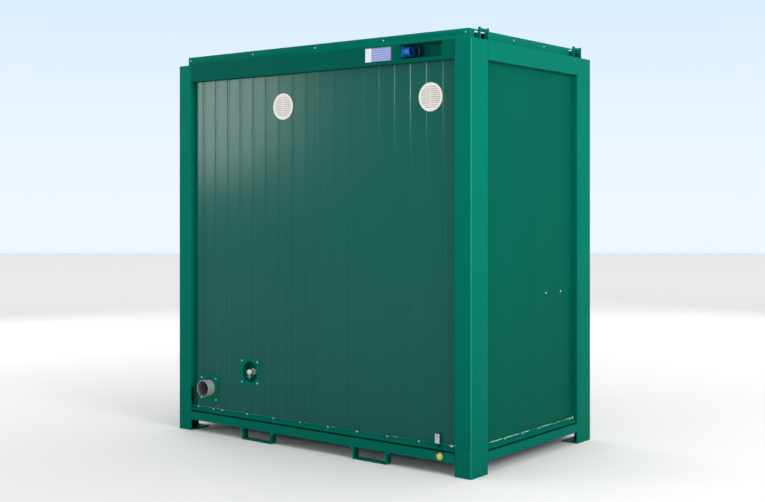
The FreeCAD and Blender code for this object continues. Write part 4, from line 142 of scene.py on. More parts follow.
class Graph:
    """The nodes of a material or a world, built by sums and by one method for every other node."""

    def __init__(self, name: str, world: bool = False) -> None:
        """Start an empty material whose patterns read object coordinates, or an empty world.

        Args:
            name: The name of the material or world.
            world: True for a world.
        """
        self.owner = bpy.data.worlds.new(name) if world else bpy.data.materials.new(name)
        self.owner.use_nodes = True
        self.end = "ShaderNodeOutputWorld" if world else "ShaderNodeOutputMaterial"
        self.tree = self.owner.node_tree
        self.tree.nodes.clear()
        self.place = self.node("ShaderNodeTexCoord", out="Generated" if world else "Object")

    def node(self, kind: str, settings: dict[str, Any] | None = None,
             values: dict[Any, Any] | None = None, out: Any = 0) -> Signal:
        """Add one node.

        Args:
            kind: The node's type.
            settings: Its own settings, such as an operation, or stops for a ramp.
            values: Its sockets, by name or number, with a number, a colour or a signal.
            out: The output that is wanted, by name or number.

        Returns:
            That output.
        """
        made = self.tree.nodes.new(kind)
        for key, setting in (settings or {}).items():
            if key == "stops":
                ramp = made.color_ramp.elements
                while len(ramp) < len(setting):
                    ramp.new(0.5)
                for element, (position, colour) in zip(ramp, setting):
                    element.position, element.color = position, (*colour, 1)
            else:
                setattr(made, key, setting)
        for key, value in (values or {}).items():
            if isinstance(value, Signal):
                self.tree.links.new(value.socket, made.inputs[key])
            elif isinstance(value, tuple) and made.inputs[key].type == "RGBA":
                made.inputs[key].default_value = (*value[:3], 1)
            else:
                made.inputs[key].default_value = value
        return Signal(self, made.outputs[out])

    def math(self, operation: str, first: Any, second: Any = 0.0) -> Signal:
        """Add a Math node for two signals or numbers."""
        return self.node("ShaderNodeMath", {"operation": operation}, {0: first, 1: second})

    def axis(self, letter: str) -> Signal:
        """One coordinate of the place on the object, in metres."""
        return self.node("ShaderNodeSeparateXYZ", values={"Vector": self.place}, out=letter)

    def away(self, letter: str) -> Signal:
        """How far the place is from the object's middle plane on one axis, in metres."""
        return self.math("ABSOLUTE", self.axis(letter))

    def noise(self, scale: float, detail: float = 2.0, stretch: Triple = (1, 1, 1)) -> Signal:
        """A cloudy pattern from 0 to 1, with its size in waves per metre and a stretch on each axis."""
        spot = self.node("ShaderNodeMapping", values={"Vector": self.place, "Scale": stretch})
        return self.node("ShaderNodeTexNoise", values={"Vector": spot, "Scale": scale, "Detail": detail},
                         out="Fac")

    def cells(self, scale: float) -> Signal:
        """The distance to the nearest of many scattered points, in points per metre."""
        return self.node("ShaderNodeTexVoronoi", values={"Vector": self.place, "Scale": scale},
                         out="Distance")

    def specks(self, scale: float, size: float) -> Signal:
        """Small round spots, 1 at a spot, in spots per metre."""
        return self.cells(scale).rise(size, size * 0.6)

    def layers(self, scale: float, distortion: float = 0.0) -> Signal:
        """Level bands, one over the other."""
        return self.node("ShaderNodeTexWave", {"wave_type": "BANDS", "bands_direction": "Z"},
                         {"Vector": self.place, "Scale": scale, "Distortion": distortion}, "Fac")

    def radius(self, x: float, z: float) -> Signal:
        """The distance from a line along Y, in metres."""
        across, height = self.axis("X") - x, self.axis("Z") - z
        return self.math("SQRT", across * across + height * height)

    def mix(self, factor: Any, first: Any, second: Any) -> Signal:
        """A blend from the first colour to the second."""
        return self.node("ShaderNodeMix", {"data_type": "RGBA"}, {0: factor, 6: first, 7: second}, 2)

    def bump(self, height: Signal, strength: float, depth: float) -> Signal:
        """A relief from a height signal, with its depth in metres."""
        return self.node("ShaderNodeBump", values={"Height": height, "Strength": strength,
                                                   "Distance": depth}, out="Normal")

    def finish(self, colour: Any, rough: Any, relief: tuple[Signal, float, float] | None = None,
               gloss: float = 0.5, metal: Any = 0.0, coat: float = 0.0) -> Material:
        """Close the graph with the surface shader.

        Args:
            colour: The colour of the surface.
            rough: Its roughness.
            relief: The height signal, strength and depth of its bump, if it has one.
            gloss: How strongly it reflects; 0.5 is a plain plastic.
            metal: 1 for bare metal.
            coat: The share of a clear coat.

        Returns:
            The finished material.
        """
        values = {"Base Color": colour, "Roughness": rough, "Specular IOR Level": gloss,
                  "Metallic": metal, "Coat Weight": coat}
        if relief:
            values["Normal"] = self.bump(*relief)
        self.node_output(self.node("ShaderNodeBsdfPrincipled", values=values))
        return self.owner

    def node_output(self, surface: Signal) -> None:
        """Link a shader to the output."""
        end = self.tree.nodes.new(self.end)
        self.tree.links.new(surface.socket, end.inputs["Surface"])


@dataclass(frozen=True)
class Paint:
    """Sprayed paint on steel: a faint orange peel, a clouded sheen, dust near the ground and painted shade
    that darkens it towards the ground.
    """

    name: str
    colour: Triple
    roughness: float = 0.36
    gloss: float = 0.012
    dust: float = 0.25
    peel: float = 0.12

    def material(self) -> Material:
        """Build the paint.

        Returns:
            Its material.
        """
        graph = Graph(self.name)
        clouds = graph.noise(2.3, 3.0)
        runs = graph.noise(9.0, 3.0, (1, 1, 0.06))
        low = graph.axis("Z").rise(0.34, 0.02)
        grime = low * graph.noise(14.0, 4.0).rise(0.35, 0.75) * self.dust
        deep = share_of(self.colour, 0.88)
        colour = graph.mix(clouds.rise(0.3, 0.7) * 0.55 + runs.rise(0.45, 0.8) * 0.25, self.colour, deep)
        colour = graph.mix(grime, self.placed(graph, colour), rgb(20, 92, 76))
        # Painted shade: the paint darkens towards the ground.
        colour = graph.mix(graph.axis("Z").rise(1.9, -0.2) * 0.3, colour, share_of(self.colour, 0.3))
        rough = self.roughness + clouds * 0.08 + grime * 0.3
        return graph.finish(colour, rough, (graph.noise(260.0, 1.0), self.peel, 0.0002), self.gloss)

    def placed(self, graph: Graph, colour: Signal) -> Signal:
        """Vary the colour by the place on the object.

        Args:
            graph: The material's graph.
            colour: The colour so far.

        Returns:
            The colour with its variation.
        """
        return colour


@dataclass(frozen=True)
class FramePaint(Paint):
    """The frame's paint, with a painted highlight on the posts' rounded outer edges and painted shade on the
    rear top rail.
    """

    outer: float = 1900 * MM
    edge: float = 6 * MM
    rail_end: float = 1085 * MM
    rail_middle: float = 2423.5 * MM
    rail_half: float = 56.5 * MM

    def placed(self, graph: Graph, colour: Signal) -> Signal:
        """Paint a highlight on the outer edges and paint shade on the rear rail.

        Args:
            graph: The material's graph.
            colour: The colour so far.

        Returns:
            The colour with both changes.
        """
        # Painted highlight: the posts' rounded outer edges are lightened, as if they caught the light.
        corner = graph.away("X") + graph.away("Y")
        light = corner.rise(self.outer - self.edge, self.outer - 0.7 * self.edge)
        colour = graph.mix(light * 0.6, colour, tuple(min(1.0, 0.03 + c * 1.7) for c in self.colour))
        # Painted shade: the rear top rail between the posts is darkened, as if it sat in shade.
        behind = graph.axis("Y").rise(-0.60, -0.64) * graph.axis("Z").band(
            self.rail_middle, self.rail_half, 0.4 * MM)
        rail = behind * graph.away("X").rise(self.rail_end + 0.2 * MM, self.rail_end - 0.4 * MM)
        return graph.mix(rail * 0.42, colour, share_of(self.colour, 0.12))


@dataclass(frozen=True)
class CoatedSheet:
    """Coil-coated wall sheet: fine upright rolling lines and streaks over a clouded colour, with painted
    light that makes it paler towards the top and darker towards the ground.
    """

    name: str
    colour: Triple
    pale: Triple
    roughness: float = 0.15
    gloss: float = 0.14

    def material(self) -> Material:
        """Build the sheet's coating.

        Returns:
            Its material.
        """
        graph = Graph(self.name)
        lines = graph.noise(42.0, 3.0, (1, 1, 0.012))
        streaks = graph.noise(10.0, 2.0, (1, 1, 0.02))
        patches = graph.noise(1.1, 2.0, (1, 1, 0.5))
        # Random pale patches, plus painted light that makes the sheet paler towards the top.
        share = patches.rise(0.25, 0.75) * 0.5 + graph.axis("Z").rise(0.2, 1.9) * 0.3
        colour = graph.mix(share, self.colour, self.pale)
        deep = share_of(self.colour, 0.72)
        colour = graph.mix(lines.rise(0.5, 0.8) * 0.2 + streaks.rise(0.52, 0.7) * 0.12, colour, deep)
        foot = graph.axis("Z").rise(0.42, 0.13) * graph.noise(20.0, 4.0).rise(0.4, 0.8) * 0.2
        colour = graph.mix(foot, colour, rgb(50, 88, 74))
        # Painted shade: the sheet darkens towards the ground.
        colour = graph.mix(graph.axis("Z").rise(1.6, 0.0) * 0.24, colour, share_of(self.colour, 0.3))
        rough = self.roughness + lines * 0.06 + foot * 0.3
        waves = graph.noise(3.0, 2.0, (1, 1, 0.35))
        return graph.finish(colour, rough, (waves, 0.2, 0.004), self.gloss)


@dataclass(frozen=True)
class BareMetal:
    """Unpainted metal: rolled, brushed or galvanised."""

    name: str
    colour: Triple
    roughness: float = 0.35
    grain: Triple = (1, 1, 1)
    scale: float = 60.0
    metallic: float = 1.0

    def material(self) -> Material:
        """Build the metal.

        Returns:
            Its material.
        """
        graph = Graph(self.name)
        grain = graph.noise(self.scale, 3.0, self.grain)
        cloud = graph.noise(7.0, 2.0)
        colour = graph.mix(grain.rise(0.35, 0.75) * 0.5 + cloud * 0.2, self.colour,
                           share_of(self.colour, 0.72))
        rough = self.roughness + grain * 0.14 + cloud * 0.06
        return graph.finish(colour, rough, (grain, 0.08, 0.0003), metal=self.metallic)


@dataclass(frozen=True)
class Moulded:
    """A moulded or glazed piece, smooth or finely textured, with a clouded trace of dirt."""

    name: str
    colour: Triple
    roughness: float = 0.3
    gloss: float = 0.5
    texture: float = 0.05
    coat: float = 0.0

    def material(self) -> Material:
        """Build the piece's finish.

        Returns:
            Its material.
        """
        graph = Graph(self.name)
        cloud = graph.noise(6.0, 3.0)
        fine = graph.noise(420.0, 1.0)
        aged = tuple(c * w for c, w in zip(self.colour, (0.94, 0.93, 0.88)))
        colour = graph.mix(cloud.rise(0.35, 0.8) * 0.6, self.colour, aged)
        return graph.finish(colour, self.roughness + cloud * 0.07, (fine, self.texture, 0.0002),
                            self.gloss, coat=self.coat)


@dataclass(frozen=True)
class Lining:
    """White wall board inside: a fine stipple and scuffs near the floor."""

    name: str
    colour: Triple
    scuffs: Triple

    def material(self) -> Material:
        """Build the board's face.

        Returns:
            Its material.
        """
        graph = Graph(self.name)
        stipple = graph.noise(300.0, 2.0)
        marks = graph.noise(17.0, 5.0, (1, 1, 0.5)).rise(0.56, 0.7) * graph.axis("Z").rise(0.9, 0.16)
        colour = graph.mix(marks * 0.35, self.colour, self.scuffs)
        return graph.finish(colour, 0.42 + stipple * 0.1, (stipple, 0.15, 0.0002))


class Sealant:
    """A glossy bead of clear sealant over paint, with pale patches, most at its ends, that are partly
    whitened sealant and partly painted highlights.
    """

    def material(self) -> Material:
        """Build the sealant.

        Returns:
            Its material.
        """
        graph = Graph("clear_sealant")
        ends = graph.away("X").rise(0.99, 1.09) * 0.22
        # Pale patches, most at the ends: partly whitened sealant, partly painted highlights on the bead.
        patches = (graph.noise(13.0, 3.0) + ends).rise(0.62, 0.77)
        colour = graph.mix(patches * 0.85, rgb(4, 104, 88), rgb(196, 214, 206))
        return graph.finish(colour, 0.14 + patches * 0.2, (graph.noise(90.0, 2.0), 0.3, 0.0008), 0.45)


class Vinyl:
    """Speckled floor covering."""

    def material(self) -> Material:
        """Build the covering.

        Returns:
            Its material.
        """
        graph = Graph("speckled_vinyl")
        light, dark = graph.specks(150.0, 0.32), graph.specks(190.0, 0.26)
        cloud = graph.noise(5.0, 3.0)
        colour = graph.mix(light, rgb(116, 122, 124), rgb(168, 172, 172))
        colour = graph.mix(dark * 0.8, colour, rgb(62, 66, 70))
        colour = graph.mix(cloud.rise(0.5, 0.8) * 0.3, colour, rgb(96, 96, 92))
        return graph.finish(colour, 0.45 + cloud * 0.15, (graph.noise(500.0, 1.0), 0.2, 0.0003))


class FloorBoard:
    """Film-faced plywood, seen at its edges and from below."""

    def material(self) -> Material:
        """Build the board.

        Returns:
            Its material.
        """
        graph = Graph("plywood")
        grain = graph.noise(30.0, 4.0, (0.12, 1, 1))
        plies = graph.layers(90.0, 0.6)
        colour = graph.mix(grain.rise(0.3, 0.7), rgb(150, 112, 76), rgb(112, 78, 50))
        colour = graph.mix(plies.rise(0.4, 0.7) * 0.4, colour, rgb(84, 58, 40))
        return graph.finish(colour, 0.6 + grain * 0.2, (grain, 0.2, 0.0006))


class Foam:
    """Cut foam core."""

    def material(self) -> Material:
        """Build the foam.

        Returns:
            Its material.
        """
        graph = Graph("foam_core")
        cells = graph.specks(380.0, 0.5)
        cloud = graph.noise(12.0, 3.0)
        colour = graph.mix(cells * 0.5, rgb(226, 206, 152), rgb(184, 160, 108))
        return graph.finish(colour, 0.85 + cloud * 0.1, (cells, 0.5, 0.0008))


@dataclass(frozen=True)
class PlateSheet:
    """The bare plate on the rail: a white field and a lilac one with pale plain stripes."""

    divide: float = 0.487
    stripe: float = 0.0122
    middle: Pair = (0.56, 2.4295)

    def material(self) -> Material:
        """Build the printed sheet.

        Returns:
            Its material.
        """
        graph = Graph("plate_sheet")
        across, height = graph.axis("X"), graph.axis("Z")
        right = across.above(self.divide)
        wave = graph.layers(math.pi / (10 * self.stripe))
        inside = across.band(self.middle[0], 0.066, 0.002) * height.band(self.middle[1], 0.034, 0.002)
        line = wave.rise(0.55, 0.75) * inside * (0.55 + graph.noise(60.0, 2.0) * 0.5)
        lilac = graph.mix(line, rgb(122, 132, 196), rgb(178, 190, 232))
        colour = graph.mix(right, rgb(222, 226, 236), lilac)
        return graph.finish(colour, 0.32 + graph.noise(30.0) * 0.1, (graph.noise(40.0, 2.0), 0.05, 0.0005))


@dataclass(frozen=True)
class PipePlastic:
    """Grey soil pipe, darker inside its open end."""

    centre_x: float
    centre_z: float
    bore: float

    def material(self) -> Material:
        """Build the pipe's plastic.

        Returns:
            Its material.
        """
        graph = Graph("soil_pipe")
        radius = graph.radius(self.centre_x, self.centre_z)
        outlet = graph.axis("Y").rise(-0.56, -0.59)
        # The bore of the open end is darker than the outside.
        inner = radius.rise(self.bore + 0.0012, self.bore + 0.0002) * outlet
        cloud = graph.noise(24.0, 4.0)
        colour = graph.mix(cloud.rise(0.4, 0.8) * 0.5, rgb(158, 166, 164), rgb(128, 136, 135))
        colour = graph.mix(inner, colour, rgb(112, 110, 108))
        return graph.finish(colour, 0.42 + cloud * 0.12, (graph.noise(300.0), 0.1, 0.0002))


@dataclass(frozen=True)
class EarthDisc:
    """The earthing point: galvanised strip above, a plain yellow disc with a dark rim below."""

    centre_x: float
    centre_z: float
    radius: float

    def material(self) -> Material:
        """Build the finish of strip and disc.

        Returns:
            Its material.
        """
        graph = Graph("earthing_metal")
        spread = graph.radius(self.centre_x, self.centre_z)
        disc = graph.axis("Z").rise(0.145, 0.140)
        spangle = graph.cells(90.0)
        zinc = graph.mix(spangle, rgb(190, 210, 206), rgb(150, 170, 167))
        rim = spread.rise(self.radius * 0.8, self.radius * 0.86)
        yellow = graph.mix(rim * 0.75, rgb(214, 192, 48), rgb(70, 84, 44))
        worn = graph.noise(90.0, 3.0).rise(0.6, 0.75)
        yellow = graph.mix(worn * 0.4, yellow, rgb(150, 134, 60))
        return graph.finish(graph.mix(disc, zinc, yellow), 0.4 + spangle * 0.3, (spangle, 0.1, 0.0003),
                            metal=(1 - disc) * 0.3)


FRAME_GREEN = rgb(0, 114, 96)
WALL_GREEN = rgb(1, 88, 76)


class Finishes:
    """Every material of the cabin: by the record's slot, by node, and for pieces of their own."""

    def __init__(self) -> None:
        """Build the materials."""
        pipe_x, pipe_z = -945 * MM, 299 * MM
        self.by_slot = self.made({
            "frame_paint": FramePaint("frame_paint", FRAME_GREEN),
            "wall_paint": CoatedSheet("wall_paint", WALL_GREEN, rgb(8, 93, 82)),
            "plate_paint": Paint("plate_paint", rgb(4, 114, 96), 0.4, dust=0.4),
            "bare_steel": BareMetal("rolled_steel", rgb(176, 182, 182), 0.36),
            "screw_steel": BareMetal("screw_zinc", rgb(206, 216, 212), 0.24, scale=300.0),
            "door_metal": BareMetal("lever_metal", rgb(196, 199, 202), 0.28, (1, 1, 12), 40.0),
            "floor_wood": FloorBoard(),
            "vinyl": Vinyl(),
            "foam": Foam(),
            "lining": Lining("wall_board", rgb(228, 228, 222), rgb(170, 168, 160)),
            "sandwich": Lining("partition_board", rgb(230, 230, 226), rgb(168, 166, 158)),
            "ceiling_board": Lining("ceiling_board", rgb(236, 236, 232), rgb(200, 200, 196)),
            "white_plastic": Moulded("vent_plastic", rgb(234, 232, 226), 0.38),
            "seat_plastic": Moulded("seat_plastic", rgb(238, 238, 236), 0.18, coat=0.2),
            "pipe_grey": PipePlastic(pipe_x, pipe_z, 51.8 * MM),
            "copper_brass": BareMetal("copper_pipe", rgb(196, 132, 92), 0.32, (0.2, 1, 1)),
            "valve_metal": BareMetal("valve_plating", rgb(214, 214, 208), 0.4, scale=90.0, metallic=0.45),
            "inlet_blue": Moulded("inlet_plastic", rgb(8, 116, 200), 0.32, 0.45, 0.1),
            "label_sheet": PlateSheet(),
            "earth_metal": EarthDisc(983 * MM, 104 * MM, 23 * MM),
            "ceramic": Moulded("glazed_ceramic", rgb(240, 240, 236), 0.08, 0.5, 0.0, 0.5),
            "chrome": BareMetal("polished_chrome", rgb(222, 224, 226), 0.06, scale=20.0),
            "fittings_steel": BareMetal("polished_steel", rgb(200, 203, 205), 0.16, (1, 1, 10)),
            "lamp_cover": Moulded("lamp_cover", rgb(240, 240, 234), 0.35),
            "unit_plastic": Moulded("unit_plastic", rgb(230, 230, 226), 0.4),
            "clear_flap": Moulded("smoked_flap", rgb(58, 62, 68), 0.12, 0.6),
        })
        self.by_node = self.made({
            "end_wall_panels": CoatedSheet("end_paint", rgb(0, 88, 70), rgb(0, 93, 75), 0.3, 0.012),
        })
        self.own = self.made({
            "rubber": Moulded("black_rubber", rgb(26, 27, 28), 0.62, 0.3, 0.25),
            "screen": Moulded("fly_screen", rgb(74, 73, 70), 0.7, 0.2, 0.4),
            "handle": BareMetal("valve_handle", rgb(118, 124, 128), 0.42, metallic=0.6),
            "weld": Paint("painted_weld", rgb(0, 122, 102), 0.3, gloss=0.2, peel=0.5),
            "skirting": Moulded("skirting", rgb(132, 136, 138), 0.5, 0.3, 0.15),
            "trim": Moulded("corner_trim", rgb(214, 216, 214), 0.3),
            "water": Moulded("still_water", rgb(196, 210, 208), 0.04, 0.5, 0.0, 0.3),
            "strap": Paint("dark_strap", rgb(4, 62, 56), 0.5),
            "sealant": Sealant(),
        })

    @staticmethod
    def made(finishes: dict[str, Any]) -> dict[str, Material]:
        """Build the material of each finish in a table."""
        return {name: finish.material() for name, finish in finishes.items()}

    def dress(self, nodes: dict[str, bpy.types.Object], record: dict[str, Any]) -> None:
        """Give every node a material of its own, or that of its slot."""
        for subpart in record["subparts"]:
            mesh = nodes[subpart["node"]].data
            mesh.materials.clear()
            own = self.by_node.get(subpart["node"])
            mesh.materials.append(own or self.by_slot[subpart["material_slot"]])


def linked(name: str, data: bpy.types.ID) -> bpy.types.Object:
    """Put an object in the scene.

    Args:
        name: Its name.
        data: Its mesh, light or camera.

    Returns:
        The object.
    """
    made = bpy.data.objects.new(name, data)
    bpy.context.scene.collection.objects.link(made)
    return made


def mesh_of(name: str, shape: Shape) -> bpy.types.Mesh:
    """Turn a shape into a mesh.

    Args:
        name: The mesh's name.
        shape: The shape; it is used up.

    Returns:
        The mesh.
    """
    mesh = bpy.data.meshes.new(name)
    shape.to_mesh(mesh)
    shape.free()
    return mesh


def shape_of(node: str) -> Shape:
    """Turn a CAD node's mesh into a shape.

    Args:
        node: The node's name.

    Returns:
        The shape, with its triangles joined at their points.
    """
    shape = bmesh.new()
    shape.from_mesh(frame["nodes"][node].data)
    bmesh.ops.remove_doubles(shape, verts=shape.verts, dist=JOIN)
    return shape


@dataclass
class Bench:
    """Turns a shape into a piece that rides on a body; its angles are in degrees."""

    finishes: Finishes
    flat_within: float = 1.0
    rounded_over: float = 40.0
    sharp_over: float = 35.0
    sharp_over_rounded: float = 50.0

    def piece(self, name: str, shape: Shape, slot: str, body: str = "cabin", own: str = "",
              stands_for: Sequence[str] = (), sharp: float | None = None) -> None:
        """Make a piece from a shape.

        Args:
            name: The piece's name.
            shape: Its shape, in metres in the cabin's frame; it is used up.
            slot: The record's slot for its finish.
            body: The body that it moves with.
            own: The name of a finish of its own, if not the slot's.
            stands_for: Nodes that it takes the place of.
            sharp: Edges that turn more than this many degrees stay sharp.
        """
        normals = corner_normals(shape, math.radians(sharp or self.sharp_over))
        mesh = mesh_of(name, shape)
        mesh.materials.append(self.finishes.own[own] if own else self.finishes.by_slot[slot])
        mesh.shade_smooth()
        mesh.normals_split_custom_set(normals)
        made = linked(name, mesh)
        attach(made, body)
        if stands_for:
            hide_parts(*stands_for)
        log.info("%s: %d faces on %s", name, len(mesh.polygons), body)

    def softened(self, node: str, width: float, steps: int = 2, ends: Sequence[tuple[int, float]] = (),
                 own: str = "") -> None:
        """Put a copy with rounded edges in a node's place.

        Args:
            node: The node's name.
            width: How far the rounding reaches, in metres.
            steps: Faces across each rounded edge.
            ends: Planes, as an axis number and a distance from the middle, whose edges stay sharp,
                because another piece is welded on there.
            own: The name of a finish of its own, if not the slot's.
        """
        def welded(edge: bmesh.types.BMEdge) -> bool:
            """Tell whether an edge lies in one of the ends."""
            return any(all(abs(abs(vert.co[axis]) - place) < ON_PLANE for vert in edge.verts)
                       for axis, place in ends)

        shape = shape_of(node)
        bmesh.ops.dissolve_limit(shape, angle_limit=math.radians(self.flat_within), verts=shape.verts,
                                 edges=shape.edges)
        rounded(shape, [edge for edge in shape.edges if len(edge.link_faces) == 2 and not welded(edge)
                        and edge.calc_face_angle() > math.radians(self.rounded_over)], width, steps)
        self.piece(node + "_finished", shape, SLOT_OF[node], BODY_OF[node], own, [node],
                   self.sharp_over_rounded)

    def soften(self, widths: dict[str, float], ends: Sequence[tuple[int, float]] = ()) -> None:
        """Round the edges of several nodes, each by its width in millimetres."""
        for node, width in widths.items():
            self.softened(node, width * MM, ends=ends)


def rounded(shape: Shape, edges: list[bmesh.types.BMEdge], width: float, steps: int = 2) -> None:
    """Round some edges of a shape over a width in metres, with a number of faces across each."""
    bmesh.ops.bevel(shape, geom=edges, offset=width, segments=steps, profile=0.5, affect="EDGES",
                    clamp_overlap=True, material=-1)


def corner_normals(shape: Shape, limit: float) -> list[Vector]:
    """Normals for each face corner, where large faces outweigh the narrow ones of a rounded edge.

    Args:
        shape: The shape.
        limit: Faces that meet at more than this angle don't share a normal.

    Returns:
        One normal for each corner, face by face.
    """
    shape.normal_update()
    shape.faces.index_update()
    shape.verts.index_update()
    areas = [face.calc_area() for face in shape.faces]
    found = {}
    for vert in shape.verts:
        group = {face: {face} for face in vert.link_faces}
        for edge in vert.link_edges:
            if len(edge.link_faces) == 2 and edge.calc_face_angle(0) < limit:
                first, second = (group[face] for face in edge.link_faces)
                if first is not second:
                    first |= second
                    for face in second:
                        group[face] = first
        for face, members in group.items():
            total = sum((other.normal * areas[other.index] for other in members), Vector())
            found[face.index, vert.index] = total.normalized()
    return [found[face.index, loop.vert.index] for face in shape.faces for loop in face.loops]


def turned_to(shape: Shape, verts: Iterable[bmesh.types.BMVert], matrix: Matrix) -> None:
    """Move some of a shape's points by a matrix."""
    bmesh.ops.transform(shape, matrix=matrix, verts=list(verts))


def sweep(shape: Shape, route: Sequence[Point], radius: float, closed: bool = False,
          sides: int = 10) -> None:
    """Add a round bar along straight runs, with mitred corners.

    Args:
        shape: The shape to add to.
        route: The corners, in metres.
        radius: The bar's radius.
        closed: True to join the last corner to the first.
        sides: Faces round the bar.
    """
    points = [Vector(p) for p in route]
    rings = []
    for i, point in enumerate(points):
        before = points[i - 1] if i or closed else None
        after = points[(i + 1) % len(points)] if i < len(points) - 1 or closed else None
        into = (point - before).normalized() if before else (after - point).normalized()
        out = (after - point).normalized() if after else into
        along = (into + out).normalized()
        across = out - into
        across = across.normalized() if across.length > FINE_JOIN else along.orthogonal().normalized()
        mitre = 1 / max(along.dot(out), SHARPEST)
        basis = Matrix((across * mitre, along.cross(across), along)).transposed().to_4x4()
        ring = bmesh.ops.create_circle(shape, segments=sides, radius=radius)["verts"]
        turned_to(shape, ring, Matrix.Translation(point) @ basis)
        rings.append(ring)
    skin(shape, rings, closed)


def skin(shape: Shape, rings: Sequence[Ring], closed: bool = False) -> None:
    """Bridge rings of points into one bar, with flat ends or joined into a loop.

    Args:
        shape: The shape that holds the rings.
        rings: The rings from one end to the other.
        closed: True to join the last ring to the first.
    """
    pairs = list(zip(rings, rings[1:])) + ([(rings[-1], rings[0])] if closed else [])
    for first, second in pairs:
        bmesh.ops.bridge_loops(shape, edges=ring_edges(first) + ring_edges(second))
    if not closed:
        for ring in (rings[0], rings[-1]):
            bmesh.ops.contextual_create(shape, geom=ring_edges(ring))


def ring_edges(ring: Ring) -> list[bmesh.types.BMEdge]:
    """The edges that join the points of one ring."""
    members = set(ring)
    return list({e for v in ring for e in v.link_edges if e.other_vert(v) in members})


def lathed(shape: Shape, profile: Sequence[Pair], matrix: Matrix, steps: int = 32) -> None:
    """Add a turned shape.

    Args:
        shape: The shape to add to.
        profile: Points as (radius, height) from one end of the axis to the other.
        matrix: Where the shape goes; its own axis is Z.
        steps: Faces round the axis.
    """
    verts = [shape.verts.new((radius, 0, height)) for radius, height in profile]
    edges = [shape.edges.new(pair) for pair in zip(verts, verts[1:])]
    known = set(shape.verts) - set(verts)
    bmesh.ops.spin(shape, geom=verts + edges, cent=(0, 0, 0), axis=(0, 0, 1), dvec=(0, 0, 0),
                   angle=2 * math.pi, steps=steps, use_merge=True, use_duplicate=False)
    bmesh.ops.remove_doubles(shape, verts=[v for v in shape.verts if v not in known], dist=FINE_JOIN)
    turned_to(shape, [v for v in shape.verts if v not in known], matrix)


def block(shape: Shape, start: Point, end: Point, round_by: float = 0.0) -> list[bmesh.types.BMVert]:
    """Add a block with rounded edges.

    Args:
        shape: The shape to add to.
        start, end: Any two opposite corners, in metres.
        round_by: How far the rounding reaches.

    Returns:
        The block's points.
    """
    low, high = (Vector(tuple(map(pick, start, end))) for pick in (min, max))
    size = high - low
    known = set(shape.verts)
    made = bmesh.ops.create_cube(shape, size=1)["verts"]
    turned_to(shape, made, Matrix.Translation((low + high) / 2) @ Matrix.Diagonal((*size, 1)))
    if round_by:
        rounded(shape, list({edge for vert in made for edge in vert.link_edges}), round_by)
    return [v for v in shape.verts if v not in known]


def facing(place: Point, way: Point) -> Matrix:
    """The matrix that puts a shape's own Z axis at a place, pointing a way."""
    turn = Vector((0, 0, 1)).rotation_difference(Vector(way)).to_matrix().to_4x4()
    return Matrix.Translation(Vector(place)) @ turn


def turn_about(place: Point, degrees: float, axis: str) -> Matrix:
    """The matrix that turns points about an axis through a place."""
    there = Matrix.Translation(place)
    return there @ Matrix.Rotation(math.radians(degrees), 4, axis) @ there.inverted()


def wobbly(start: Point, end: Point, step: float, swing: float) -> list[Vector]:
    """A straight run with small waves, as a hand-laid bead has.

    Args:
        start, end: The ends of the run, in metres.
        step: How far apart its points lie.
        swing: How far they leave the straight line, up or down.

    Returns:
        The points.
    """
    start, end = Vector(start), Vector(end)
    count = max(2, round((end - start).length / step))
    quick, slow = 2.1, 0.7
    return [start.lerp(end, i / count) + Vector((0, 0, swing * math.sin(i * quick) * math.cos(i * slow)))
            for i in range(count + 1)]


@dataclass
class SteelFrame:
    """Posts, rails, feet, fork straps and lifting points."""

    bench: Bench
    length: float = 2400 * MM
    depth: float = 1400 * MM
    post_width: float = 115 * MM
    post_depth: float = 175 * MM
    rail_joint: float = 2367 * MM
    foot_joint: float = 135 * MM
    bead: float = 1.6 * MM
    ground: float = 0.1 * MM
    corner: float = 5 * MM

    def build(self) -> None:
        """Round the frame's edges and add its weld beads."""
        ends = ((0, self.length / 2 - self.post_width), (1, self.depth / 2 - self.post_depth))
        self.bench.soften({"corner_feet": 1.5, "fork_pockets": 1.2, "lifting_bails": 1.2,
                           "top_rails": 0.9, "roof_trim": 0.8, "bottom_rails": 0.9}, ends)
        self.post_welds()

    def post_welds(self) -> None:
        """A bead round each post where the foot and the rail meet it, ground flush on the ends."""
        shape = bmesh.new()
        for sx, sy in CORNERS:
            x0 = sx * (self.length / 2 - self.bead - self.ground)
            x1 = sx * (self.length / 2 - self.post_width)
            y0, y1 = sy * self.depth / 2, sy * (self.depth / 2 - self.post_depth)
            cut_x, cut_y = sx * self.corner, sy * self.corner
            for z in (self.foot_joint, self.rail_joint):
                route = [(x1 + cut_x, y0, z), (x0 - cut_x, y0, z), (x0, y0 - cut_y, z), (x0, y1, z)]
                sweep(shape, route, self.bead, sides=8)
        self.bench.piece("post_welds", shape, "frame_paint", own="weld")


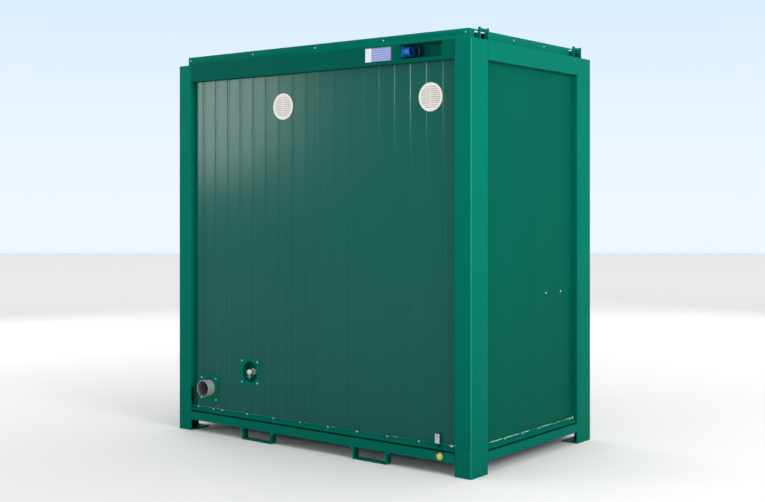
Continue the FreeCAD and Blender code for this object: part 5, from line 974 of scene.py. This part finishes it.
@dataclass
class Screws:
    """The small screws, modelled as pan heads with a recess, and the two bolts."""

    bench: Bench
    bolt_radius: float = 7 * MM
    bolt_head: float = 5 * MM
    screw_head: float = 3 * MM
    sunk: float = 0.6 * MM
    outline: tuple[Pair, ...] = ((1, 0.3), (0.86, 0.75), (0.5, 1), (0.42, 1), (0.34, 0.45), (0, 0.4))

    def build(self) -> None:
        """Put a modelled screw where each plain one is."""
        shape = bmesh.new()
        for place, way, radius, height in self.places():
            profile = [(0, -self.sunk), (radius, -self.sunk)]
            profile += [(radius * across, height * up) for across, up in self.outline]
            lathed(shape, profile, facing(place, way), 16)
        self.bench.piece("trim_screws_finished", shape, "screw_steel", stands_for=["trim_screws"])

    def places(self) -> list[tuple[Vector, Vector, float, float]]:
        """Find the plain screws.

        Returns:
            Where each screw's head sits, which way it faces, its radius and its height.
        """
        shape = shape_of("trim_screws")
        found, seen = [], set()
        for start in shape.verts:
            if start in seen:
                continue
            island, queue = [], [start]
            seen.add(start)
            while queue:
                vert = queue.pop()
                island.append(vert.co.copy())
                for edge in vert.link_edges:
                    other = edge.other_vert(vert)
                    if other not in seen:
                        seen.add(other)
                        queue.append(other)
            found.append(self.head_of(island))
        shape.free()
        return found

    def head_of(self, island: list[Vector]) -> tuple[Vector, Vector, float, float]:
        """Read one plain screw: it lies along X or Y, and its head is at its outer end.

        Args:
            island: The screw's points.

        Returns:
            Where its head sits, which way it faces, its radius and its height.
        """
        low, high = (Vector(tuple(map(pick, zip(*island)))) for pick in (min, max))
        size, middle = high - low, (low + high) / 2
        axis = max(range(2), key=lambda i: size[i])
        radius = size.z / 2
        side = 1 if middle[axis] > 0 else -1
        height = self.bolt_head if radius > self.bolt_radius else self.screw_head
        place = middle.copy()
        place[axis] = (high if side > 0 else low)[axis] - side * height
        way = Vector()
        way[axis] = side
        return place, way, radius, height


@dataclass
class Louvres:
    """The round vents: a ring, flat blades with thin slits between them, a rib and a fly screen."""

    bench: Bench
    middles: tuple[float, ...] = (-262 * MM, 897 * MM)
    height: float = 2162 * MM
    wall: float = 665 * MM
    lining: float = 585 * MM
    blades: int = 12
    opening: float = 70.5 * MM
    slit: float = 2.4 * MM
    tilt: float = 7.0
    overlap: float = 3 * MM
    blade: Pair = (1.2 * MM, 3.2 * MM)
    blade_round: float = 0.5 * MM
    rib: float = 4.4 * MM
    rib_rise: Pair = (2.6 * MM, 4.4 * MM)
    rib_round: float = 0.4 * MM
    sleeve: Pair = (73 * MM, 75 * MM)
    screen: Pair = (72.8 * MM, 0.8 * MM)
    screen_back: float = 9 * MM

    def build(self) -> None:
        """Put a louvre on each face of each vent, and a screen between them."""
        shape, screens = bmesh.new(), bmesh.new()
        radius, thick = self.screen
        for x in self.middles:
            self.louvre(shape, x, -self.wall, -1, self.wall - self.lining)
            self.louvre(shape, x, -self.lining, 1, 0.0)
            lathed(screens, [(0, 0), (radius, 0), (radius, thick), (0, thick)],
                   facing((x, -self.wall + self.screen_back, self.height), (0, -1, 0)))
        self.bench.piece("vent_louvres", shape, "white_plastic", stands_for=["wall_vents"])
        self.bench.piece("vent_screens", screens, "white_plastic", own="screen")

    def louvre(self, shape: Shape, x: float, face: float, way: int, sleeve: float) -> None:
        """One ring with its blades and rib.

        Args:
            shape: The shape to add to.
            x: Its middle.
            face: The wall's face on Y.
            way: 1 or -1, the way on Y that it faces.
            sleeve: How far its sleeve reaches into the wall, or 0 for none.
        """
        edge = self.opening
        spot = facing((x, face, self.height), (0, way, 0))
        ring = [(edge, 0), *mm((84, 0), (84, 3.4), (83, 4.6), (81, 5)), (edge + 1 * MM, 5 * MM),
                (edge, 4.2 * MM), (edge, 0)]
        lathed(shape, ring, spot, 64)
        if sleeve:
            inner, outer = self.sleeve
            lathed(shape, [(inner, 0), (outer, 0), (outer, -sleeve), (inner, -sleeve), (inner, 0)], spot, 64)
        pitch = 2 * edge / self.blades
        half = (pitch - self.slit) / 2
        for i in range(self.blades):
            rise = (i - (self.blades - 1) / 2) * pitch
            reach = math.sqrt((edge + self.overlap) ** 2 - (abs(rise) - half) ** 2)
            near, far = (face + way * depth for depth in self.blade)
            blade = block(shape, (x - reach, near, self.height + rise - half),
                          (x + reach, far, self.height + rise + half), self.blade_round)
            middle = (x, (near + far) / 2, self.height + rise)
            turned_to(shape, blade, turn_about(middle, -way * self.tilt, "X"))
        near, far = (face + way * depth for depth in self.rib_rise)
        half = self.rib / 2
        block(shape, (x - half, near, self.height - edge), (x + half, far, self.height + edge),
              self.rib_round)


@dataclass
class Joints:
    """What closes the joints between sheets: sealant, dark strips painted as the shadow in the gaps, and the
    roof's inner strips.
    """

    bench: Bench
    wall_x: float = 1165 * MM
    wall_y: float = 665 * MM
    post_x: float = 1085 * MM
    post_y: float = 525 * MM
    flashing_top: float = 166 * MM
    flashing: float = 1.5 * MM
    rail: float = 2367 * MM
    inset: float = 2 * MM
    bead: float = 2.3 * MM
    bead_lift: float = 0.4 * MM
    wave: Pair = (38 * MM, 0.5 * MM)
    dab: Pair = (-22 * MM, 9 * MM)
    dab_step: float = 8 * MM
    dab_swell: float = 1.15
    gap_shadow_size: Pair = (0.8 * MM, 2.2 * MM)
    front_gaps: tuple[Pair, ...] = tuple(mm((-1083, -988), (-117, 117), (988, 1083)))
    roof_strip: tuple[Triple, ...] = tuple(mm((1098, -640, 2480.5), (1100.5, 640, 2520)))
    strip_round: float = 0.4 * MM

    def build(self) -> None:
        """Lay every bead, gap shadow and strip."""
        self.beads()
        self.gap_shadow_strips()
        self.roof_strips()

    def beads(self) -> None:
        """Sealant along the top of each flashing, and a dab at each post."""
        shape = bmesh.new()
        z = self.flashing_top + self.bead_lift
        x, y = self.wall_x + self.flashing, self.wall_y + self.flashing
        end_x, end_y = self.post_x - self.inset, self.post_y - self.inset
        runs = [((-end_x, -y, z), (end_x, -y, z))]
        runs += [((side * x, -end_y, z), (side * x, end_y, z)) for side in (-1, 1)]
        runs += [((low, y, z), (high, y, z)) for low, high in self.front_gaps]
        for start, end in runs:
            sweep(shape, wobbly(start, end, *self.wave), self.bead, sides=8)
        for sx, sy in CORNERS:
            for place in ((sx * end_x, sy * y), (sx * x, sy * end_y)):
                foot, head = ((*place, z + way) for way in self.dab)
                sweep(shape, wobbly(foot, head, self.dab_step, 0), self.bead * self.dab_swell, sides=8)
        self.bench.piece("flashing_sealant", shape, "frame_paint", own="sealant")

    def gap_shadow_strips(self) -> None:
        """A dark strip where each wall sheet meets the posts and the top rail: a painted shadow in the gap.
        """
        shape = bmesh.new()
        # Painted shadow: thin black strips stand for the shade in the gaps round the wall sheets.
        low, (thick, wide) = self.flashing_top, self.gap_shadow_size
        for side in (-1, 1):
            x0, x1 = side * self.wall_x, side * (self.wall_x + thick)
            for y in (-self.post_y, self.post_y - wide):
                block(shape, (x0, y, low), (x1, y + wide, self.rail))
            block(shape, (x0, -self.post_y, self.rail - wide), (x1, self.post_y, self.rail))
            y0, y1 = side * self.wall_y, side * (self.wall_y + thick)
            block(shape, (-self.post_x, y0, self.rail - wide), (self.post_x, y1, self.rail))
            for x in (-self.post_x, self.post_x - wide):
                block(shape, (x, y0, low), (x + wide, y1, self.rail))
        self.bench.piece("panel_gaskets", shape, "frame_paint", own="rubber")

    def roof_strips(self) -> None:
        """A painted strip behind the notches of the roof trim at each end."""
        shape = bmesh.new()
        for side in (-1, 1):
            block(shape, *((side * x, y, z) for x, y, z in self.roof_strip), self.strip_round)
        self.bench.piece("roof_strips", shape, "frame_paint")


@dataclass
class ServiceFittings:
    """Small pieces on the service side: the earth bolt and strap, and the inlet's pins and liner."""

    bench: Bench
    disc: Triple = (983 * MM, -701 * MM, 104 * MM)
    inlet: Pair = (-646.6 * MM, 2438 * MM)
    pin_circle: float = 15 * MM
    pin_root: float = 701 * MM
    lid_face: float = 748.3 * MM
    lid_hinge: Triple = (745.5 * MM, -612.3 * MM, 0)
    lid_open: float = 55.0
    strap_x: float = 966 * MM
    strap_half: float = 5 * MM
    strap_thick: float = 1.2 * MM
    strap_drift: float = 3.5 * MM
    strap_turn: int = 3
    strap_line: tuple[Pair, ...] = tuple(mm((-667.2, 176), (-667.2, 157.5), (-694.2, 147.5),
                                            (-694.2, 139.5), (-700.4, 133), (-700.4, 116)))

    def build(self) -> None:
        """Finish the service fittings."""
        self.bench.soften({"power_inlet": 0.8, "inlet_lid": 0.7, "inlet_pocket": 0.4, "service_plates": 0.4,
                           "water_inlet": 0.5, "label_plate": 0.25, "earthing_point": 0.3})
        self.bench.softened("water_valve_lever", 0.4 * MM, own="handle")
        self.earth_bolt()
        self.earth_strap()
        self.inlet_pins()
        self.lid_liner()

    def earth_bolt(self) -> None:
        """A hexagon bolt on a washer in the middle of the earthing disc."""
        shape = bmesh.new()
        way = facing(self.disc, (0, -1, 0))
        lathed(shape, mm((0, 0), (8, 0), (8.4, 0.5), (8.2, 1.3), (0, 1.3)), way, 28)
        lathed(shape, mm((0, 1.3), (5.6, 1.3), (5.6, 4.2), (4.9, 4.9), (0, 4.9)), way, 6)
        self.bench.piece("earth_bolt", shape, "screw_steel")

    def earth_strap(self) -> None:
        """A narrow painted strap from the lug over the flashing down to the disc."""
        shape, rings = bmesh.new(), []
        half, thick = self.strap_half, self.strap_thick
        for i, (y, z) in enumerate(self.strap_line):
            x = self.strap_x + max(0.0, i - self.strap_turn) * self.strap_drift
            front, over = y - thick, z + thick / 2
            ring = [shape.verts.new(place) for place in (
                (x - half, y, z), (x + half, y, z), (x + half, front, over), (x - half, front, over))]
            for pair in zip(ring, ring[1:] + ring[:1]):
                shape.edges.new(pair)
            rings.append(ring)
        skin(shape, rings)
        bmesh.ops.recalc_face_normals(shape, faces=shape.faces)
        self.bench.piece("earth_strap", shape, "frame_paint", own="strap")

    def inlet_pins(self) -> None:
        """Metal sleeves on the three pins of the power inlet."""
        shape = bmesh.new()
        profile = mm((0, 0), (2.7, 0), (2.7, 36), (2.2, 38), (0, 38))
        for turn in map(math.radians, (90, 210, 330)):
            y = self.inlet[0] + self.pin_circle * math.cos(turn)
            z = self.inlet[1] + self.pin_circle * math.sin(turn)
            lathed(shape, profile, facing((self.pin_root, y, z), (1, 0, 0)), 16)
        self.bench.piece("inlet_pins", shape, "copper_brass")

    def lid_liner(self) -> None:
        """A dark rubber disc inside the inlet's lid, which stands open on its upright hinge."""
        shape = bmesh.new()
        shut = facing((self.lid_face, *self.inlet), (-1, 0, 0))
        lathed(shape, mm((0, -0.4), (27, -0.4), (27, 1), (25, 1.5), (0, 1.5)),
               turn_about(self.lid_hinge, self.lid_open, "Z") @ shut, 40)
        self.bench.piece("inlet_lid_liner", shape, "inlet_blue", "inlet_lid", "rubber")


@dataclass
class Washroom:
    """The inside of both cubicles: rounded ceramics, trims, lamps, water and breakers."""

    bench: Bench
    partition: float = 20 * MM
    wall: float = 1085 * MM
    lining: float = 585 * MM
    floor: float = 153 * MM
    skirting_height: float = 58 * MM
    skirting_thick: float = 3 * MM
    skirting_round: float = 0.9 * MM
    trim_reach: float = 18 * MM
    trim_thick: float = 1.2 * MM
    trim_round: float = 0.3 * MM
    post_cover: float = 62 * MM
    above_pipes: float = 600 * MM
    ceiling: float = 2385 * MM
    pans: Pair = (-685 * MM, 420 * MM)
    water_middle: float = -190 * MM
    water_half: Pair = (73 * MM, 91 * MM)
    water_levels: Pair = (337 * MM, 340 * MM)
    lamps: Pair = (-552.5 * MM, 552.5 * MM)
    breakers: Pair = (436 * MM, 564 * MM)
    breaker_count: int = 7
    lever: tuple[Triple, ...] = tuple(mm((-3.2, -510, 2117), (3.2, -505.6, 2129)))
    lever_pivot: Pair = (-508 * MM, 2123 * MM)
    lever_tilt: float = 6.0
    lever_round: float = 0.8 * MM
    case_joint: tuple[Triple, ...] = tuple(mm((-0.4, -509.8, 2101.5), (0.4, -509.2, 2144.5)))

    def build(self) -> None:
        """Finish the cubicles."""
        widths = {"cisterns": 6.0, "wash_basins": 4.0, "basin_taps": 1.2, "consumer_unit": 1.5,
                  "ceiling_lights": 5.0, "toilet_pans": 2.5, "washroom_fittings": 0.5,
                  "consumer_flap": 0.4}
        for side in Side:
            widths.update({"toilet_seat_" + side.tag: 3.0, "toilet_lid_" + side.tag: 2.5,
                           "tap_lever_" + side.tag: 1.0, "flush_button_" + side.tag: 0.8,
                           "lock_bolt_" + side.tag: 0.5, "privacy_bolt_" + side.tag: 0.6})
        self.bench.soften(widths)
        self.skirting()
        self.corners()
        self.water()
        self.lamp_rings()
        self.toggles()

    def walls(self) -> list[tuple[float, int]]:
        """The side walls of both cubicles, as a place on X and the way into the room."""
        return [(-self.wall, 1), (-self.partition, -1), (self.partition, 1), (self.wall, -1)]

    def skirting(self) -> None:
        """A grey skirting along the side and rear walls."""
        shape = bmesh.new()
        thick, top = self.skirting_thick, self.floor + self.skirting_height
        for x, way in self.walls():
            block(shape, (x, -self.lining, self.floor), (x + way * thick, self.lining, top),
                  self.skirting_round)
        for side in Side:
            block(shape, (side.value * (self.partition + thick), -self.lining, self.floor),
                  (side.value * (self.wall - thick), -self.lining + thick, top), self.skirting_round)
        self.bench.piece("skirting", shape, "lining", own="skirting")

    def corners(self) -> None:
        """White angles in every corner, wide enough to hide the posts, and along the ceiling."""
        shape = bmesh.new()
        reach, thick = self.trim_reach, self.trim_thick
        for x, way in self.walls():
            wide, low = reach, self.above_pipes
            if abs(x) == self.wall:
                wide, low = self.post_cover, self.floor + self.skirting_height
            for end in (-1, 1):
                face = end * self.lining
                for across, along in ((reach, thick), (thick, wide)):
                    block(shape, (x, face, low), (x + way * across, face - end * along, self.ceiling),
                          self.trim_round)
            block(shape, (x, wide - self.lining, self.ceiling - reach),
                  (x + way * thick, self.lining - wide, self.ceiling), self.trim_round)
        self.bench.piece("corner_trims", shape, "lining", own="trim")

    def water(self) -> None:
        """Water standing in each pan."""
        shape = bmesh.new()
        low, high = self.water_levels
        for x in self.pans:
            place = Matrix.Translation((x, self.water_middle, (low + high) / 2))
            bmesh.ops.create_cone(shape, cap_ends=True, segments=40, radius1=1, radius2=1, depth=1,
                                  matrix=place @ Matrix.Diagonal((*self.water_half, high - low, 1)))
        self.bench.piece("pan_water", shape, "ceramic", own="water")

    def lamp_rings(self) -> None:
        """The base ring of each ceiling lamp."""
        shape = bmesh.new()
        ring = mm((136, 0), (147, 0), (147, 9), (144.5, 12), (140.8, 12), (136, 8), (136, 0))
        for x in self.lamps:
            lathed(shape, ring, facing((x, 0, self.ceiling), (0, 0, -1)), 64)
        self.bench.piece("lamp_rings", shape, "unit_plastic")

    def toggles(self) -> None:
        """The breakers' levers behind the flap, and the joints between their cases."""
        shape = bmesh.new()
        low, high = self.breakers
        pitch = (high - low) / self.breaker_count
        for i in range(self.breaker_count):
            x, edge = low + (i + 0.5) * pitch, low + i * pitch
            verts = block(shape, *((x + dx, y, z) for dx, y, z in self.lever), self.lever_round)
            turned_to(shape, verts, turn_about((x, *self.lever_pivot), self.lever_tilt, "X"))
            if i:
                block(shape, *((edge + dx, y, z) for dx, y, z in self.case_joint))
        self.bench.piece("breaker_levers", shape, "unit_plastic", own="rubber")


@dataclass
class Doors:
    """Door leaves, frames, levers and their small fittings, with rubber seals round the leaves."""

    bench: Bench
    middle: float = 552.5 * MM
    half: float = 390 * MM
    bottom: float = 169 * MM
    top: float = 2149 * MM
    inner: float = 621 * MM
    seal_inset: float = 9 * MM
    seal_depth: float = 2.5 * MM
    seal_radius: float = 3 * MM

    def build(self) -> None:
        """Round the doors' edges and lay their seals."""
        self.bench.soften({"door_frames": 1.2, "frame_fittings": 0.6})
        for side in Side:
            self.bench.soften({"door_leaf_" + side.tag: 1.5, "door_fittings_" + side.tag: 0.6})
            self.bench.softened("door_lever_" + side.tag, 1.6 * MM, 3)
            self.seal(side)

    def seal(self, side: Side) -> None:
        """A rubber profile round the inner face of a leaf.

        Args:
            side: The cubicle that the leaf closes.
        """
        shape = bmesh.new()
        x, y, inset = side.value * self.middle, self.inner - self.seal_depth, self.seal_inset
        left, right = x - self.half + inset, x + self.half - inset
        low, high = self.bottom + inset, self.top - inset
        sweep(shape, [(left, y, low), (right, y, low), (right, y, high), (left, y, high)],
              self.seal_radius, True)
        self.bench.piece("door_seal_" + side.tag, shape, "wall_paint", "door_" + side.tag, "rubber")


@dataclass
class Studio:
    """A pale floor, plain light and the camera."""

    azimuth: float = 38.05
    place: Triple = (4.828, -6.140, 1.575)
    focal: float = 1166.0
    width: float = 765.0
    height: float = 502.0
    centre_y: float = 198.5
    sensor: float = 36.0
    floor_reach: float = 33.6
    floor_cells: int = 8
    sight: float = 200.0
    low_light: float = 0.25
    high_light: float = 0.9
    sky: tuple[tuple[float, Triple], ...] = ((0.0, rgb(240, 248, 255)), (0.03, rgb(238, 247, 255)),
                                             (0.17, rgb(218, 238, 255)))

    def build(self) -> None:
        """Make floor, light and camera."""
        bpy.context.scene.view_settings.view_transform = "Standard"
        self.camera()
        self.floor()
        self.world()
        self.lamps()

    def camera(self) -> None:
        """Set the camera at the photograph's viewing angle."""
        data = bpy.data.cameras.new("camera")
        data.sensor_width = self.sensor
        data.lens = self.focal * self.sensor / self.width
        data.shift_y = (self.centre_y - self.height / 2) / self.width
        data.clip_end = self.sight
        camera = linked("camera", data)
        camera.location = self.place
        camera.rotation_euler = (math.pi / 2, 0, math.radians(self.azimuth))
        bpy.context.scene.camera = camera

    def floor(self) -> None:
        """A wide pale floor that ends where the photograph's does."""
        shape = bmesh.new()
        bmesh.ops.create_grid(shape, x_segments=self.floor_cells, y_segments=self.floor_cells,
                              size=self.floor_reach)
        turn = Matrix.Rotation(math.radians(self.azimuth), 4, "Z")
        turned_to(shape, shape.verts, Matrix.Translation((*self.place[:2], 0)) @ turn)
        mesh = mesh_of("floor", shape)
        graph = Graph("studio_floor")
        far = graph.node("ShaderNodeVectorMath", {"operation": "LENGTH"}, {0: graph.place}, "Value")
        colour = graph.mix(far.rise(2.0, 16.0), rgb(228, 228, 228), rgb(249, 249, 249))
        mesh.materials.append(graph.finish(colour, 0.9, gloss=0.1))
        floor = linked("floor", mesh)

    def world(self) -> None:
        """A soft sky that gives more light from above; the pale background only where it shows."""
        graph = Graph("studio_sky", world=True)
        up = graph.axis("Z")
        sky = graph.node("ShaderNodeValToRGB", {"stops": self.sky}, {"Fac": up})
        shown = graph.node("ShaderNodeBackground", values={"Color": sky, "Strength": 1.0})
        strength = self.low_light + graph.math("MAXIMUM", up, 0.0) * self.high_light
        light = graph.node("ShaderNodeBackground", values={"Color": (1, 1, 1), "Strength": strength})
        rays = [graph.node("ShaderNodeLightPath", out=name)
                for name in ("Is Camera Ray", "Is Glossy Ray", "Is Transmission Ray")]
        seen = graph.math("MAXIMUM", graph.math("MAXIMUM", rays[0], rays[1]), rays[2])
        graph.node_output(graph.node("ShaderNodeMixShader", values={0: seen, 1: light, 2: shown}))
        bpy.context.scene.world = graph.owner

    def lamps(self) -> None:
        """Large soft lamps: the main one on the short side, weaker ones round the rest."""
        for name, place, aim, size, power in (
                ("lamp_side", (7.2, -1.6, 3.9), (1.2, 0, 1.5), 3.6, 330),
                ("lamp_left", (-11.3, -10.2, 3.6), (-0.9, -0.7, 1.3), 3.4, 330),
                ("lamp_front", (-0.5, -9.6, 3.1), (0.4, -0.7, 1.8), 0.42, 60),
                ("lamp_back", (0.5, 8.5, 4.2), (0, 0.7, 1.2), 4.0, 150),
                ("lamp_far", (-7.5, 2.0, 4.0), (-1.2, 0, 1.2), 4.0, 120)):
            data = bpy.data.lights.new(name, "AREA")
            data.shape, data.size, data.energy = "DISK", size, power
            lamp = linked(name, data)
            lamp.location = place
            lamp.rotation_euler = (Vector(aim) - Vector(place)).to_track_quat("-Z", "Y").to_euler()


def main() -> None:
    """Dress the cabin, piece by piece."""
    logging.basicConfig(level=logging.INFO, format="%(message)s")
    finishes = Finishes()
    finishes.dress(frame["nodes"], frame["record"])
    bench = Bench(finishes)
    for assembly in (SteelFrame, Screws, Louvres, Joints, ServiceFittings, Washroom, Doors):
        assembly(bench).build()
    Studio().build()


if __name__ == "__main__":
    main()
